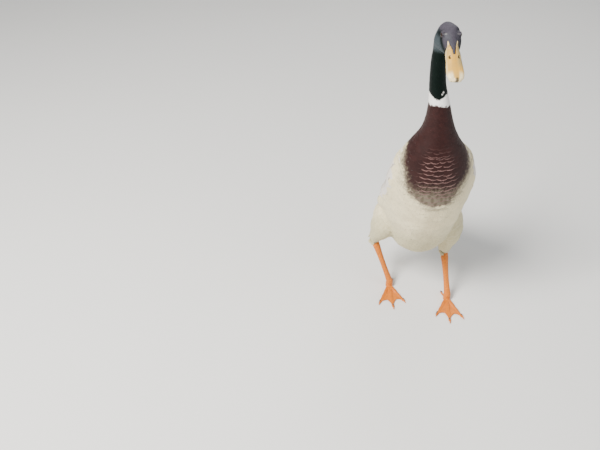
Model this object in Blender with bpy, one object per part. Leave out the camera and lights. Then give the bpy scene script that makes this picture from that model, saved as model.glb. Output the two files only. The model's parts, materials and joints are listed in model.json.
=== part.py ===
"""An Indian runner drake standing with one foot behind the other: a still, life-size model.

Lengths are in metres. The bird faces -Y, its left side is at +X, and it stands on z = 0.
The body is one smooth surface of sections along a spine, divided into nodes with thin gaps.
Wings and tail carry their feathers as overlapping vanes, fused to a core with a Boolean union.
"""

import math

import bmesh
import bpy
import numpy as np
from mathutils import Matrix, Vector

# Clearances and feather thickness
GAP = 0.0003
SEAT = 0.0005
VANE_THICK = 0.0008
SINK = 0.0030
WELD = 0.000001

# The spine, tail root to nape: sideways, ahead, height, half width, depth to the back and to the belly
SPINE = (
    (0.005, -0.128, 0.141, 0.024, 0.017, 0.019),
    (0.006, -0.090, 0.156, 0.050, 0.030, 0.065),
    (0.006, -0.050, 0.184, 0.0645, 0.040, 0.092),
    (0.0048, -0.013, 0.227, 0.0658, 0.045, 0.086),
    (0.0045, 0.021, 0.276, 0.0645, 0.047, 0.074),
    (0.0015, 0.045, 0.325, 0.0635, 0.044, 0.061),
    (-0.0034, 0.060, 0.371, 0.0506, 0.035, 0.045),
    (-0.0048, 0.066, 0.412, 0.0272, 0.025, 0.0270),
    (-0.0088, 0.065, 0.454, 0.0165, 0.0175, 0.0180),
    (-0.0150, 0.060, 0.491, 0.0122, 0.0135, 0.0135),
    (-0.0160, 0.056, 0.524, 0.0118, 0.0135, 0.0132),
    (-0.0105, 0.055, 0.556, 0.0134, 0.0155, 0.0140),
)
BODY_POWER = 2.1
NECK_BASE_HEIGHT = 0.388
RING_TOP_HEIGHT = 0.466
SHOULDER_HEIGHT = 0.380

# The head: place of the middle of the skull, how far it points down and to the right, and how much further
# down the bill points
HEAD_PLACE = (-0.0090, 0.0680, 0.5595)
HEAD_DOWN = math.radians(9)
HEAD_RIGHT = math.radians(-1.2)
BILL_DOWN = math.radians(13)
BILL_ROOT = (0.0165, -0.0060)
# Skull stations along the head: ahead, rise of the middle, half width, crown height, chin depth
SKULL = (
    (-0.0310, -0.001, 0.0045, 0.0048, 0.0055),
    (-0.0275, -0.001, 0.0098, 0.0090, 0.0115),
    (-0.0195, -0.001, 0.0140, 0.0135, 0.0175),
    (-0.0080, -0.001, 0.0160, 0.0160, 0.0200),
    (0.0040, -0.001, 0.0157, 0.0158, 0.0190),
    (0.0130, -0.002, 0.0138, 0.0136, 0.0162),
    (0.0195, -0.0035, 0.0114, 0.0106, 0.0125),
    (0.0245, -0.0055, 0.0100, 0.0068, 0.0085),
    (0.0290, -0.0078, 0.0082, 0.0038, 0.0050),
    (0.0310, -0.0088, 0.0058, 0.0020, 0.0030),
)
SKULL_TAPER = 0.24
# Eyes: ahead, rise and out from the middle of the skull. The lids are one raised ring, longer than it is high
EYE_PLACE = (0.0042, 0.0064, 0.0102)
EYE_RADIUS = 0.0048
LID_RADIUS = 0.0044
LID_THICK = 0.0010
LID_OUT = 0.62
LID_LONGER = 1.12
LID_LOWER = 0.92
LID_STEPS = 14
LID_SIDES = 6

# Upper bill stations, from its root: ahead, rise of the cutting edge, half width, height above the edge
BILL_UPPER = (
    (0.0000, 0.0000, 0.0064, 0.0112),
    (0.0055, 0.0000, 0.0084, 0.0116),
    (0.0135, 0.0005, 0.0102, 0.0104),
    (0.0255, 0.0004, 0.0107, 0.0078),
    (0.0380, -0.0009, 0.0119, 0.0060),
    (0.0490, -0.0019, 0.0118, 0.0052),
    (0.0553, -0.0023, 0.0094, 0.0042),
    (0.0587, -0.0027, 0.0050, 0.0026),
)
# The wedge of feathers that runs from the forehead onto the bill: ahead, rise, half width, height, depth
FOREHEAD = (
    (-0.0090, 0.0075, 0.0085, 0.0070, 0.0080),
    (0.0000, 0.0076, 0.0070, 0.0057, 0.0080),
    (0.0080, 0.0077, 0.0046, 0.0044, 0.0070),
    (0.0150, 0.0078, 0.0027, 0.0030, 0.0052),
    (0.0205, 0.0074, 0.0013, 0.0026, 0.0036),
)
BILL_EDGE_DEPTH = 0.0012
LOWER_DROP = 0.0034
LOWER_NARROWER = 0.0016
LOWER_SHORTER = 0.0030
MOUTH_GAP = 0.0003
# Nostril and nail: place (ahead, rise, out) and half sizes (across, along, high)
NOSTRIL_PLACE = (0.0236, 0.0068, 0.0062)
NOSTRIL_SIZE = (0.0030, 0.0032, 0.0014)
NAIL_PLACE = (0.0543, 0.0007)
NAIL_SIZE = (0.0034, 0.0058, 0.0019)

# Legs: hip, top of the bare shank, ankle, and how far the middle toe turns inwards
LEGS = {
    "left": {
        "side": 1, "hip": (0.050, -0.005, 0.200), "top": (0.066, -0.028, 0.090),
        "ankle": (0.0755, 0.018, 0.013), "toes_in": 4,
    },
    "right": {
        "side": -1, "hip": (-0.0345, -0.010, 0.197), "top": (-0.070, -0.052, 0.0995),
        "ankle": (-0.0346, -0.019, 0.013), "toes_in": 2,
    },
}
THIGH = (
    # share of the way from the hip to the shank, half width, half depth
    (0.00, 0.0252, 0.030),
    (0.25, 0.0278, 0.035),
    (0.50, 0.0234, 0.029),
    (0.75, 0.0148, 0.0185),
    (0.98, 0.0100, 0.0115),
)
THIGH_OUTWARD = 0.007
THIGH_OVER_SHANK = 0.006
SHANK = (
    # share of the way from the top of the shank to the ankle, half width, half depth
    (0.00, 0.0066, 0.0074),
    (0.14, 0.0078, 0.0090),
    (0.30, 0.0066, 0.0078),
    (0.58, 0.0056, 0.0068),
    (0.85, 0.0060, 0.0070),
    (1.00, 0.0068, 0.0076),
)
SOLE_CUT = 0.0006
TOES = (
    # angle off the middle toe towards the outer side, length, half width at the root
    (-27, 0.050, 0.0042),
    (0, 0.060, 0.0044),
    (27, 0.054, 0.0042),
)
TOE_JOINTS = 6
TOE_HEIGHT = 0.0072
TOE_WAIST = 0.86
HIND_TOE_LENGTH = 0.016
HIND_TOE_HALF_WIDTH = 0.0026
HIND_TOE_SIDEWAYS = 0.55
CLAW_LENGTH = 0.0075
HIND_CLAW_LENGTH = 0.0045
# Claw: share of its length, half width
CLAW = ((-0.25, 0.0018), (0.35, 0.0015), (1.0, 0.0005))
CLAW_HEIGHT = 0.0024
CLAW_DROP = 0.0014
HEEL_SIZE = (0.0072, 0.0080)
HEEL_BACK = 0.002
WEB_THICK = 0.0014
WEB_HEIGHT = 0.0008
WEB_START = 0.06
WEB_END = 0.96
WEB_BOW = 0.20
WEB_RIPPLE = 0.0006

# Wings, from the shoulder to the tips: share of the way, angle from the back to the upper and the lower edge
WING_EDGES = (
    (0.00, 58, 80),
    (0.08, 45, 97),
    (0.30, 30, 106),
    (0.55, 22, 98),
    (0.78, 14, 78),
    (1.00, 8, 40),
)
WING_START = 0.98
WING_END = 0.03
WING_STAND_OFF = 0.0071
STAND_OFF_START = 0.45
# The folded arm under the feathers: its end, its thickness in the middle and at the rim, the share over which
# it rises behind the shoulder and the share that it loses towards the rear
CORE_END = 0.80
CORE_THICK = 0.0070
CORE_RIM = 0.0010
CORE_RISE = 0.14
CORE_THINNING = 0.66
# Tiers of vanes: name, count, then for the first and the last vane the root and the tip (share, across),
# the half widths, and the lift of the root and of the tip over the core
WING_TIERS = (
    (
        "primary", 4,
        ((0.56, 0.74), (0.58, 0.36)), ((0.88, 0.96), (1.00, 0.50)),
        (0.0080, 0.0085), (-0.0020, 0.0000),
    ),
    (
        "secondary", 6,
        ((0.34, 0.88), (0.42, 0.40)), ((0.66, 0.96), (0.84, 0.54)),
        (0.0100, 0.0110), (-0.0034, 0.0022),
    ),
    (
        "tertial", 3,
        ((0.38, 0.34), (0.36, 0.12)), ((0.88, 0.40), (0.84, 0.14)),
        (0.0105, 0.0105), (-0.0034, 0.0048),
    ),
    (
        "covert", 6,
        ((0.20, 0.88), (0.26, 0.36)), ((0.46, 0.94), (0.58, 0.40)),
        (0.0100, 0.0108), (-0.0034, 0.0048),
    ),
    (
        "median", 5,
        ((0.10, 0.86), (0.14, 0.40)), ((0.30, 0.92), (0.38, 0.42)),
        (0.0098, 0.0106), (-0.0034, 0.0040),
    ),
    (
        "scapular", 3,
        ((0.14, 0.38), (0.12, 0.08)), ((0.50, 0.34), (0.52, 0.07)),
        (0.0120, 0.0115), (-0.0034, 0.0068),
    ),
)
# A vane along its length: share of the length, share of the half width, thickness
VANE_SHAPE = ((0.0, 0.62, 0.0026), (0.48, 1.0, 0.0013), (0.86, 0.80, 0.0008), (1.0, 0.24, 0.0007))
VANE_TILT = 0.0020
VANE_CAMBER = 0.0005

# Tail: length, how far it points down behind, and the half angle of its fan
TAIL_REACH = 0.098
TAIL_DROP = math.radians(2)
TAIL_SPREAD = math.radians(19)
# The fleshy root: share of the tail's length, half width, depth above and below
TAIL_ROOT_START = 0.010
TAIL_ROOT = ((0.16, 0.0230, 0.0135, 0.0180), (0.34, 0.0190, 0.0090, 0.0125), (0.52, 0.0120, 0.0045, 0.0055))
TAIL_FEATHERS = 10
TAIL_FEATHER_START = 0.22
TAIL_FEATHER_HALF_WIDTH = 0.0080
TAIL_OUTER_SHORTER = 0.16
TAIL_TOP = 0.0045
TAIL_STEP = 0.00125
TAIL_CAMBER = 0.0008
# Coverts: name, half angle of their fan, reach, rise at the root and at the tip
TAIL_COVERTS = (
    ("upper_covert", 0.26, 0.64, 0.0095, 0.0068),
    ("under_covert", 0.24, 0.74, -0.0130, -0.0080),
)
COVERTS_A_SIDE = 4
COVERT_START = 0.08
COVERT_SHORTER = 0.06
COVERT_HALF_WIDTH = 0.0095
# The curled feathers: how far sideways, radius. Each runs back for a stretch and then turns up and forward
CURLS = ((-0.007, 0.0125), (0.004, 0.0110), (0.010, 0.0135))
CURL_START = (0.16, 0.0085)
CURL_LIFT = 0.0012
CURL_RUN = 0.030
CURL_RUN_SHARE = 0.25
CURL_TURN = math.radians(290)
CURL_TIGHTER = 0.30
CURL_RISE = 0.1
CURL_HALF_WIDTH = 0.0052
CURL_STEPS = 7

# Colours, roughness
FINISHES = {
    "head_green": ((0.020, 0.050, 0.042), 0.35),
    "claret": ((0.105, 0.040, 0.034), 0.65),
    "cream": ((0.66, 0.62, 0.50), 0.80),
    "wing": ((0.62, 0.57, 0.48), 0.75),
    "tail": ((0.22, 0.19, 0.17), 0.70),
    "bill": ((0.66, 0.46, 0.16), 0.40),
    "eye": ((0.012, 0.008, 0.006), 0.08),
    "leg": ((0.75, 0.24, 0.07), 0.50),
}


def clear_scene():
    for thing in list(bpy.data.objects):
        bpy.data.objects.remove(thing)


def finish(name):
    """The Principled material of one finish, made once."""
    made = bpy.data.materials.get(name)
    if made is None:
        colour, roughness = FINISHES[name]
        made = bpy.data.materials.new(name)
        made.use_nodes = True
        shader = made.node_tree.nodes["Principled BSDF"]
        shader.inputs["Base Color"].default_value = (*colour, 1)
        shader.inputs["Roughness"].default_value = roughness
        shader.inputs["Metallic"].default_value = 0
    return made


def add_object(name, points, faces, material):
    mesh = bpy.data.meshes.new(name)
    mesh.from_pydata([tuple(p) for p in points], [], faces)
    shape = bmesh.new()
    shape.from_mesh(mesh)
    bmesh.ops.recalc_face_normals(shape, faces=shape.faces)
    shape.to_mesh(mesh)
    shape.free()
    mesh.materials.append(finish(material))
    mesh.shade_smooth()
    mesh.set_sharp_from_angle(angle=math.radians(45))
    made = bpy.data.objects.new(name, mesh)
    bpy.context.scene.collection.objects.link(made)
    return made


def spline(knots, values, at):
    """A smooth curve through the values, read at the given places."""
    knots = np.asarray(knots, float)
    values = np.asarray(values, float)
    slopes = np.gradient(values, knots, axis=0)
    at = np.asarray(at, float)
    low = np.clip(np.searchsorted(knots, at, side="right") - 1, 0, len(knots) - 2)
    span = knots[low + 1] - knots[low]
    t = ((at - knots[low]) / span)[..., None]
    span = span[..., None]
    if values.ndim == 1:
        t, span = t[..., 0], span[..., 0]
    return (
        (2 * t**3 - 3 * t**2 + 1) * values[low]
        + (t**3 - 2 * t**2 + t) * span * slopes[low]
        + (3 * t**2 - 2 * t**3) * values[low + 1]
        + (t**3 - t**2) * span * slopes[low + 1]
    )


class Tube:
    """Sections along a path. A station is x, y, z, half width, depth on the upper and on the lower side."""

    def __init__(self, stations, up, along=None, power=2.0, taper=0.0):
        self.table = np.array(stations, float)
        steps = np.linalg.norm(np.diff(self.table[:, :3], axis=0), axis=1)
        self.knots = np.concatenate([[0], np.cumsum(steps)])
        self.length = self.knots[-1]
        self.up = Vector(up).normalized()
        self.along = Vector(along).normalized() if along else None
        self.power = power
        self.taper = taper

    def frame(self, at):
        """Centre, direction, side and upper direction of the section, and its three sizes."""
        row = spline(self.knots, self.table, at)
        direction = self.along
        if direction is None:
            step = self.length * 0.004
            ends = spline(self.knots, self.table[:, :3], np.array([at - step, at + step]))
            direction = Vector(ends[1] - ends[0]).normalized()
        side = self.up.cross(direction).normalized()
        return Vector(row[:3]), direction, side, direction.cross(side), row[3:]

    def point(self, at, angle, lift=0.0):
        """A point of the surface, by the angle from the upper side, raised along the section's normal."""
        centre, _, side, upper, (half, top, bottom) = self.frame(at)
        s, c = math.sin(angle), math.cos(angle)
        deep = top if c > 0 else bottom
        bend = 2 / self.power
        across = half * (1 - self.taper * c) * math.copysign(abs(s) ** bend, s)
        high = deep * math.copysign(abs(c) ** bend, c)
        slope = Vector((s / half, c / deep)).normalized()
        return centre + side * (across + slope.x * lift) + upper * (high + slope.y * lift)

    def surface_normal(self, at, angle):
        step = self.length * 0.01
        ahead = self.point(at + step, angle) - self.point(at - step, angle)
        around = self.point(at, angle + 0.02) - self.point(at, angle - 0.02)
        normal = around.cross(ahead).normalized()
        outward = self.point(at, angle, 0.001) - self.point(at, angle)
        return normal if normal.dot(outward) > 0 else -normal

    def place_at_height(self, height):
        """How far along the path its centre reaches a height."""
        places = np.linspace(0, self.length, 400)
        heights = spline(self.knots, self.table[:, 2], places)
        return float(places[np.argmin(abs(heights - height))])

    def mesh(self, name, material, start, end, rings, around, lift=0.0):
        """The closed solid between two places on the path."""
        return self.mesh_at(name, material, np.linspace(start, end, rings), around, lift)

    def mesh_at(self, name, material, places, around, lift=0.0):
        """The closed solid with a section at each of the places."""
        points = []
        rings = len(places)
        for at in places:
            points += [self.point(at, 2 * math.pi * k / around, lift) for k in range(around)]
        faces = []
        for r in range(rings - 1):
            for k in range(around):
                j = (k + 1) % around
                faces.append((r * around + k, r * around + j, (r + 1) * around + j, (r + 1) * around + k))
        faces.append(tuple(range(around)))
        faces.append(tuple(range((rings - 1) * around, rings * around)))
        return add_object(name, points, faces, material)


def plate(name, grid, normals, thicknesses, material):
    """A thin closed vane from its middle surface, one thickness a row. Both faces are split alike."""
    rows, columns = len(grid), len(grid[0])
    count = rows * columns
    points = []
    for sign in (1, -1):
        for r in range(rows):
            points += [grid[r][c] + normals[r][c] * (sign * thicknesses[r] / 2) for c in range(columns)]
    faces = []
    for r in range(rows - 1):
        for c in range(columns - 1):
            a, b = r * columns + c, r * columns + c + 1
            d, e = a + columns, b + columns
            faces += [(a, b, e), (a, e, d)]
            faces += [(a + count, e + count, b + count), (a + count, d + count, e + count)]
    border = rim(rows, columns)
    for k, a in enumerate(border):
        b = border[(k + 1) % len(border)]
        faces += [(a, a + count, b + count), (a, b + count, b)]
    return add_object(name, points, faces, material)


def rim(rows, columns):
    """The points along the border of a grid, once round."""
    border = list(range(columns))
    border += [r * columns + columns - 1 for r in range(1, rows)]
    border += [(rows - 1) * columns + c for c in range(columns - 2, -1, -1)]
    border += [r * columns for r in range(rows - 2, 0, -1)]
    return border


def apply_boolean(target, operation, other=None, collection=None):
    modifier = target.modifiers.new(operation.lower(), "BOOLEAN")
    modifier.operation = operation
    modifier.solver = "MANIFOLD"
    if collection:
        modifier.operand_type = "COLLECTION"
        modifier.collection = collection
    else:
        modifier.object = other
    bpy.context.view_layer.update()
    graph = bpy.context.evaluated_depsgraph_get()
    result = bpy.data.meshes.new_from_object(target.evaluated_get(graph))
    target.modifiers.clear()
    target.data = result


def keep_largest(target):
    """Leaves only the largest closed surface of a mesh, counted through edges that join just two faces."""
    shape = bmesh.new()
    shape.from_mesh(target.data)
    bmesh.ops.remove_doubles(shape, verts=shape.verts, dist=WELD)
    bmesh.ops.dissolve_degenerate(shape, edges=shape.edges, dist=WELD)
    left, groups = set(shape.faces), []
    while left:
        group, edge = [], [left.pop()]
        while edge:
            face = edge.pop()
            group.append(face)
            for border in face.edges:
                if len(border.link_faces) == 2:
                    for other in border.link_faces:
                        if other in left:
                            left.discard(other)
                            edge.append(other)
        groups.append(group)
    groups.sort(key=lambda faces: sum(face.calc_area() for face in faces))
    for group in groups[:-1]:
        bmesh.ops.delete(shape, geom=group, context="FACES")
    shape.to_mesh(target.data)
    shape.free()


def fuse(target, pieces):
    """Joins the pieces to the target with one Boolean union on a collection, and removes them."""
    group = bpy.data.collections.new(target.name + "_pieces")
    bpy.context.scene.collection.children.link(group)
    for piece in pieces:
        bpy.context.scene.collection.objects.unlink(piece)
        group.objects.link(piece)
    apply_boolean(target, "UNION", collection=group)
    for piece in pieces:
        bpy.data.objects.remove(piece)
    bpy.data.collections.remove(group)


def carve(target, *cutters):
    """Cuts the cutters out of the target, and removes them."""
    for cutter in cutters:
        cutter.hide_render = True
        cutter.display_type = "WIRE"
        apply_boolean(target, "DIFFERENCE", other=cutter)
        bpy.data.objects.remove(cutter)


def ball(name, place, sizes, material, frame=None, segments=16, rings=10):
    """An ellipsoid with the given half sizes."""
    mesh = bpy.data.meshes.new(name)
    shape = bmesh.new()
    bmesh.ops.create_uvsphere(shape, u_segments=segments, v_segments=rings, radius=1)
    turn = (frame or Matrix.Identity(4)) @ Matrix.Translation(place)
    bmesh.ops.transform(shape, matrix=turn @ Matrix.Diagonal((*sizes, 1)), verts=shape.verts)
    shape.to_mesh(mesh)
    shape.free()
    mesh.materials.append(finish(material))
    mesh.shade_smooth()
    made = bpy.data.objects.new(name, mesh)
    bpy.context.scene.collection.objects.link(made)
    return made


def place(side, ahead, height):
    """A point of the bird: sideways to its left, ahead and up."""
    return Vector((side, -ahead, height))


BODY = Tube([(s, -a, h, *sizes) for s, a, h, *sizes in SPINE], up=(0, 1, 0), power=BODY_POWER)
NECK_BASE = BODY.place_at_height(NECK_BASE_HEIGHT)
RING_TOP = BODY.place_at_height(RING_TOP_HEIGHT)
SHOULDER = BODY.place_at_height(SHOULDER_HEIGHT)
TORSO_PLACES = np.linspace(GAP, NECK_BASE, 22)
TORSO_AROUND = 26

# The head's own axes: x to the left, y ahead, z up, tilted and turned as a whole
HEAD = (
    Matrix.Translation(place(*HEAD_PLACE))
    @ Matrix.Rotation(math.pi - HEAD_RIGHT, 4, "Z")
    @ Matrix.Rotation(-HEAD_DOWN, 4, "X")
)
# The bill's axes: at its root in the head, tilted further down
BILL = HEAD @ Matrix.Translation((0, *BILL_ROOT)) @ Matrix.Rotation(-BILL_DOWN, 4, "X")


def in_head(side, ahead, rise):
    """A point of the head; side is to the bird's left."""
    return HEAD @ Vector((-side, ahead, rise))


def axis_tube(axes, stations, power, taper=0.0):
    """A tube along the head's or the bill's axis. Its stations are ahead, rise, half width, height, depth."""
    turn = axes.to_3x3()
    rows = [(*(axes @ Vector((0, ahead, rise))), *sizes) for ahead, rise, *sizes in stations]
    return Tube(rows, up=turn @ Vector((0, 0, 1)), along=turn @ Vector((0, 1, 0)), power=power, taper=taper)


def torso_and_neck():
    """The trunk and two lengths of neck, parted by thin gaps."""
    BODY.mesh_at("torso", "cream", TORSO_PLACES, TORSO_AROUND)
    BODY.mesh("neck_lower", "claret", NECK_BASE + GAP, RING_TOP, 9, 24)
    upper = BODY.mesh("neck_upper", "head_green", RING_TOP + GAP, BODY.length, 10, 20)
    carve(upper, skull("head_room", SEAT))
    keep_largest(upper)


def body_room():
    """The trunk and some of the neck with a little room round them, to cut out of what lies on them."""
    places = [GAP - SEAT, *TORSO_PLACES, RING_TOP]
    return BODY.mesh_at("body_room", "cream", places, TORSO_AROUND, SEAT)


def skull(name, lift=0.0):
    tube = axis_tube(HEAD, SKULL, 2.1, SKULL_TAPER)
    return tube.mesh(name, "head_green", 0, tube.length, 14, 22, lift)


def upper_bill(name, lift=0.0):
    """The upper bill: a low arch over a flat cutting edge, widest near the tip."""
    stations = [(a, r, w, h, BILL_EDGE_DEPTH) for a, r, w, h in BILL_UPPER]
    tube = axis_tube(BILL, stations, 2.3)
    return tube.mesh(name, "bill", 0, tube.length, 13, 16, lift)


def bill_and_head():
    """Skull with lids and eye sockets, both halves of the bill with nostrils and nail, and the eyes."""
    head = skull("head")
    lids, sockets, eyes = [], [], []
    for name, side in (("left", 1), ("right", -1)):
        ahead, rise, out = EYE_PLACE
        middle = (-side * out, ahead, rise)
        lids.append(lid(name, side))
        sockets.append(ball("socket_" + name, middle, [EYE_RADIUS + GAP] * 3, "eye", HEAD))
        ball("eye_" + name, middle, [EYE_RADIUS] * 3, "eye", HEAD, 14, 9)
    fuse(head, lids)
    carve(head, *sockets)

    upper = upper_bill("bill_upper")
    fuse(upper, [ball("nail", (0, *NAIL_PLACE), NAIL_SIZE, "bill", BILL, 10, 6)])
    ahead, rise, out = NOSTRIL_PLACE
    for side in (1, -1):
        carve(upper, ball("nostril", (side * out, ahead, rise), NOSTRIL_SIZE, "bill", BILL, 8, 6))
    lower_bill("bill_lower")

    carve(head, upper_bill("bill_room", SEAT), lower_bill("lower_room", SEAT))
    carve(upper, forehead("forehead_room", SEAT))
    fuse(head, [forehead("forehead")])
    keep_largest(head)
    keep_largest(upper)


def lower_bill(name, lift=0.0):
    """The lower bill: a flat blade that lies just inside the edges of the upper one."""
    stations = []
    half_drop = LOWER_DROP / 2
    for ahead, rise, half, _ in BILL_UPPER[:-1]:
        ahead = min(ahead, BILL_UPPER[-1][0] - LOWER_SHORTER)
        middle = rise - BILL_EDGE_DEPTH - MOUTH_GAP - half_drop
        stations.append((ahead, middle, half - LOWER_NARROWER, half_drop, half_drop))
    tube = axis_tube(BILL, stations, 2.6)
    return tube.mesh(name, "bill", 0, tube.length, 11, 14, lift)


def forehead(name, lift=0.0):
    """The wedge of feathers between the roots of the bill's edges."""
    tube = axis_tube(BILL, FOREHEAD, 2.0)
    return tube.mesh(name, "head_green", 0, tube.length, 7, 10, lift)


def lid(name, side):
    """The two lids as one raised ring round the eye."""
    ahead, rise, out = EYE_PLACE
    points, faces = [], []
    for step in range(LID_STEPS):
        turn = 2 * math.pi * step / LID_STEPS
        following = (step + 1) % LID_STEPS
        for k in range(LID_SIDES):
            tilt = 2 * math.pi * k / LID_SIDES
            reach = LID_RADIUS + LID_THICK * math.cos(tilt)
            points.append(
                in_head(
                    side * (out + EYE_RADIUS * LID_OUT + LID_THICK * math.sin(tilt)),
                    ahead + LID_LONGER * reach * math.cos(turn),
                    rise + LID_LOWER * reach * math.sin(turn),
                )
            )
            j = (k + 1) % LID_SIDES
            a, b = step * LID_SIDES + k, step * LID_SIDES + j
            c, d = following * LID_SIDES + j, following * LID_SIDES + k
            faces.append((a, b, c, d))
    return add_object("lid_" + name, points, faces, "head_green")


def wing_place(share, across):
    """Where a share of the way to the tip and across the wing lies on the body: place on the spine, angle."""
    knots = [row[0] for row in WING_EDGES]
    top = float(spline(knots, [row[1] for row in WING_EDGES], share))
    low = float(spline(knots, [row[2] for row in WING_EDGES], share))
    at = SHOULDER * (WING_START + (WING_END - WING_START) * share)
    return at, math.radians(top + (low - top) * across)


def wing_point(side, share, across, lift):
    """A point over the flank. The wing stands off the body towards its tips."""
    at, angle = wing_place(share, across)
    behind = max(0.0, share - STAND_OFF_START) / (1 - STAND_OFF_START)
    return BODY.point(at, side * angle, lift + WING_STAND_OFF * behind**2)


def wing_normal(side, share, across):
    at, angle = wing_place(share, across)
    return BODY.surface_normal(at, side * angle)


def core_lift(share, across):
    """How far the folded arm and its small feathers stand over the flank."""
    front = math.sin(min(1.0, max(0.0, share) / CORE_RISE) * math.pi / 2)
    rear = 1 - CORE_THINNING * min(1.0, share / CORE_END) ** 1.4
    crown = max(0.0, 1 - abs(2 * min(1.0, max(0.0, across)) - 1) ** 2.6)
    return CORE_RIM + CORE_THICK * front * rear * crown**0.5


def wing_core(side, name):
    """The folded arm and coverts: a pad that hugs the flank, thick in front and thin at its edges."""
    rows, columns = 9, 7
    outer, inner = [], []
    for r in range(rows):
        share = CORE_END * r / (rows - 1)
        for c in range(columns):
            across = c / (columns - 1)
            outer.append(wing_point(side, share, across, core_lift(share, across)))
            inner.append(wing_point(side, share, across, -SINK))
    points = outer + inner
    count = rows * columns
    faces = []
    for r in range(rows - 1):
        for c in range(columns - 1):
            a = r * columns + c
            quad = (a, a + 1, a + columns + 1, a + columns)
            faces += [quad, tuple(p + count for p in reversed(quad))]
    border = rim(rows, columns)
    for k, a in enumerate(border):
        b = border[(k + 1) % len(border)]
        faces.append((a, a + count, b + count, b))
    return add_object(name, points, faces, "wing")


def wing_vane(name, side, root, tip, half_width, low, high):
    """One feather from root to tip, in shares of the wing. Its lower edge lies over its neighbour."""
    grid, normals = [], []
    for way, wide, _ in VANE_SHAPE:
        share = root[0] + (tip[0] - root[0]) * way
        across = root[1] + (tip[1] - root[1]) * way
        lift = core_lift(share, across) + low + (high - low) * way
        middle = wing_point(side, share, across, lift)
        normal = wing_normal(side, share, across)
        ahead = wing_point(side, share + 0.02, across + (tip[1] - root[1]) * 0.02, lift) - middle
        cross = normal.cross(ahead).normalized() * side
        row = []
        for edge in (-1, 0, 1):
            rise = -VANE_TILT * edge * wide - VANE_CAMBER * abs(edge)
            row.append(middle + cross * (edge * half_width * wide) + normal * rise)
        grid.append(row)
        normals.append([normal] * 3)
    return plate(name, grid, normals, [row[2] for row in VANE_SHAPE], "wing")


def wing_feathers(side, name):
    """All tiers of one wing. The vanes of a tier are spread evenly between its first and its last."""
    made = []
    for label, count, roots, tips, widths, (low, high) in WING_TIERS:
        for k in range(count):
            u = k / (count - 1)
            root = [a + (b - a) * u for a, b in zip(*roots)]
            tip = [a + (b - a) * u for a, b in zip(*tips)]
            half = widths[0] + (widths[1] - widths[0]) * u
            made.append(wing_vane(f"{name}_{label}_{k}", side, root, tip, half, low, high))
    return made


def wings():
    for name, side in (("left", 1), ("right", -1)):
        wing = wing_core(side, "wing_" + name)
        fuse(wing, wing_feathers(side, name))
        carve(wing, body_room())
        keep_largest(wing)


def tail_line(spread, way, rise):
    """A point along a tail feather: out from the root, fanned to the side and dropping behind."""
    root = place(0, SPINE[0][1] - 0.004, SPINE[0][2] - 0.002)
    back = math.cos(spread) * TAIL_REACH * way
    sideways = math.sin(spread) * TAIL_REACH * way * 1.15
    return root + Vector((sideways, back * math.cos(TAIL_DROP), rise - back * math.sin(TAIL_DROP)))


def tail_vane(name, spread, start, reach, half_width, rise_root, rise_tip):
    """One flat feather of the fan."""
    grid = []
    up = Vector((0, math.sin(TAIL_DROP), math.cos(TAIL_DROP)))
    for way, wide, _ in VANE_SHAPE:
        share = start + (reach - start) * way
        middle = tail_line(spread, share, rise_root + (rise_tip - rise_root) * way)
        ahead = (tail_line(spread, share + 0.02, 0) - tail_line(spread, share, 0)).normalized()
        cross = up.cross(ahead).normalized() * (half_width * wide)
        grid.append([middle + cross * edge - up * (TAIL_CAMBER * abs(edge)) for edge in (-1, 0, 1)])
    rows = len(VANE_SHAPE)
    return plate(name, grid, [[up] * 3] * rows, [VANE_THICK] * rows, "tail")


def tail_curl(name, sideways, start, radius):
    """One of the drake's curled feathers: out over the tail, then up and forward in a ring."""
    grid, normals = [], []
    for k in range(CURL_STEPS + 1):
        way = k / CURL_STEPS
        half = CURL_HALF_WIDTH * (0.6 + 0.4 * math.sin(math.pi * min(1, way * 1.3))) * (1 - 0.55 * way**3)
        if way < CURL_RUN_SHARE:
            out, high, lean = CURL_RUN * way / CURL_RUN_SHARE, 0.0, 0.0
        else:
            turned = (way - CURL_RUN_SHARE) / (1 - CURL_RUN_SHARE)
            lean = CURL_TURN * turned
            shrink = radius * (1 - CURL_TIGHTER * (way - CURL_RUN_SHARE))
            out = CURL_RUN + shrink * math.sin(lean)
            high = shrink * (1 - math.cos(lean))
        aside = sideways * (0.2 + 0.8 * way)
        middle = start + Vector((aside, out * math.cos(CURL_RISE), high + out * math.sin(CURL_RISE)))
        normal = Vector((0, -math.sin(lean), math.cos(lean)))
        grid.append([middle + Vector((edge * half, 0, 0)) for edge in (-1, 0, 1)])
        normals.append([normal] * 3)
    return plate(name, grid, normals, [VANE_THICK] * (CURL_STEPS + 1), "tail")


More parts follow.
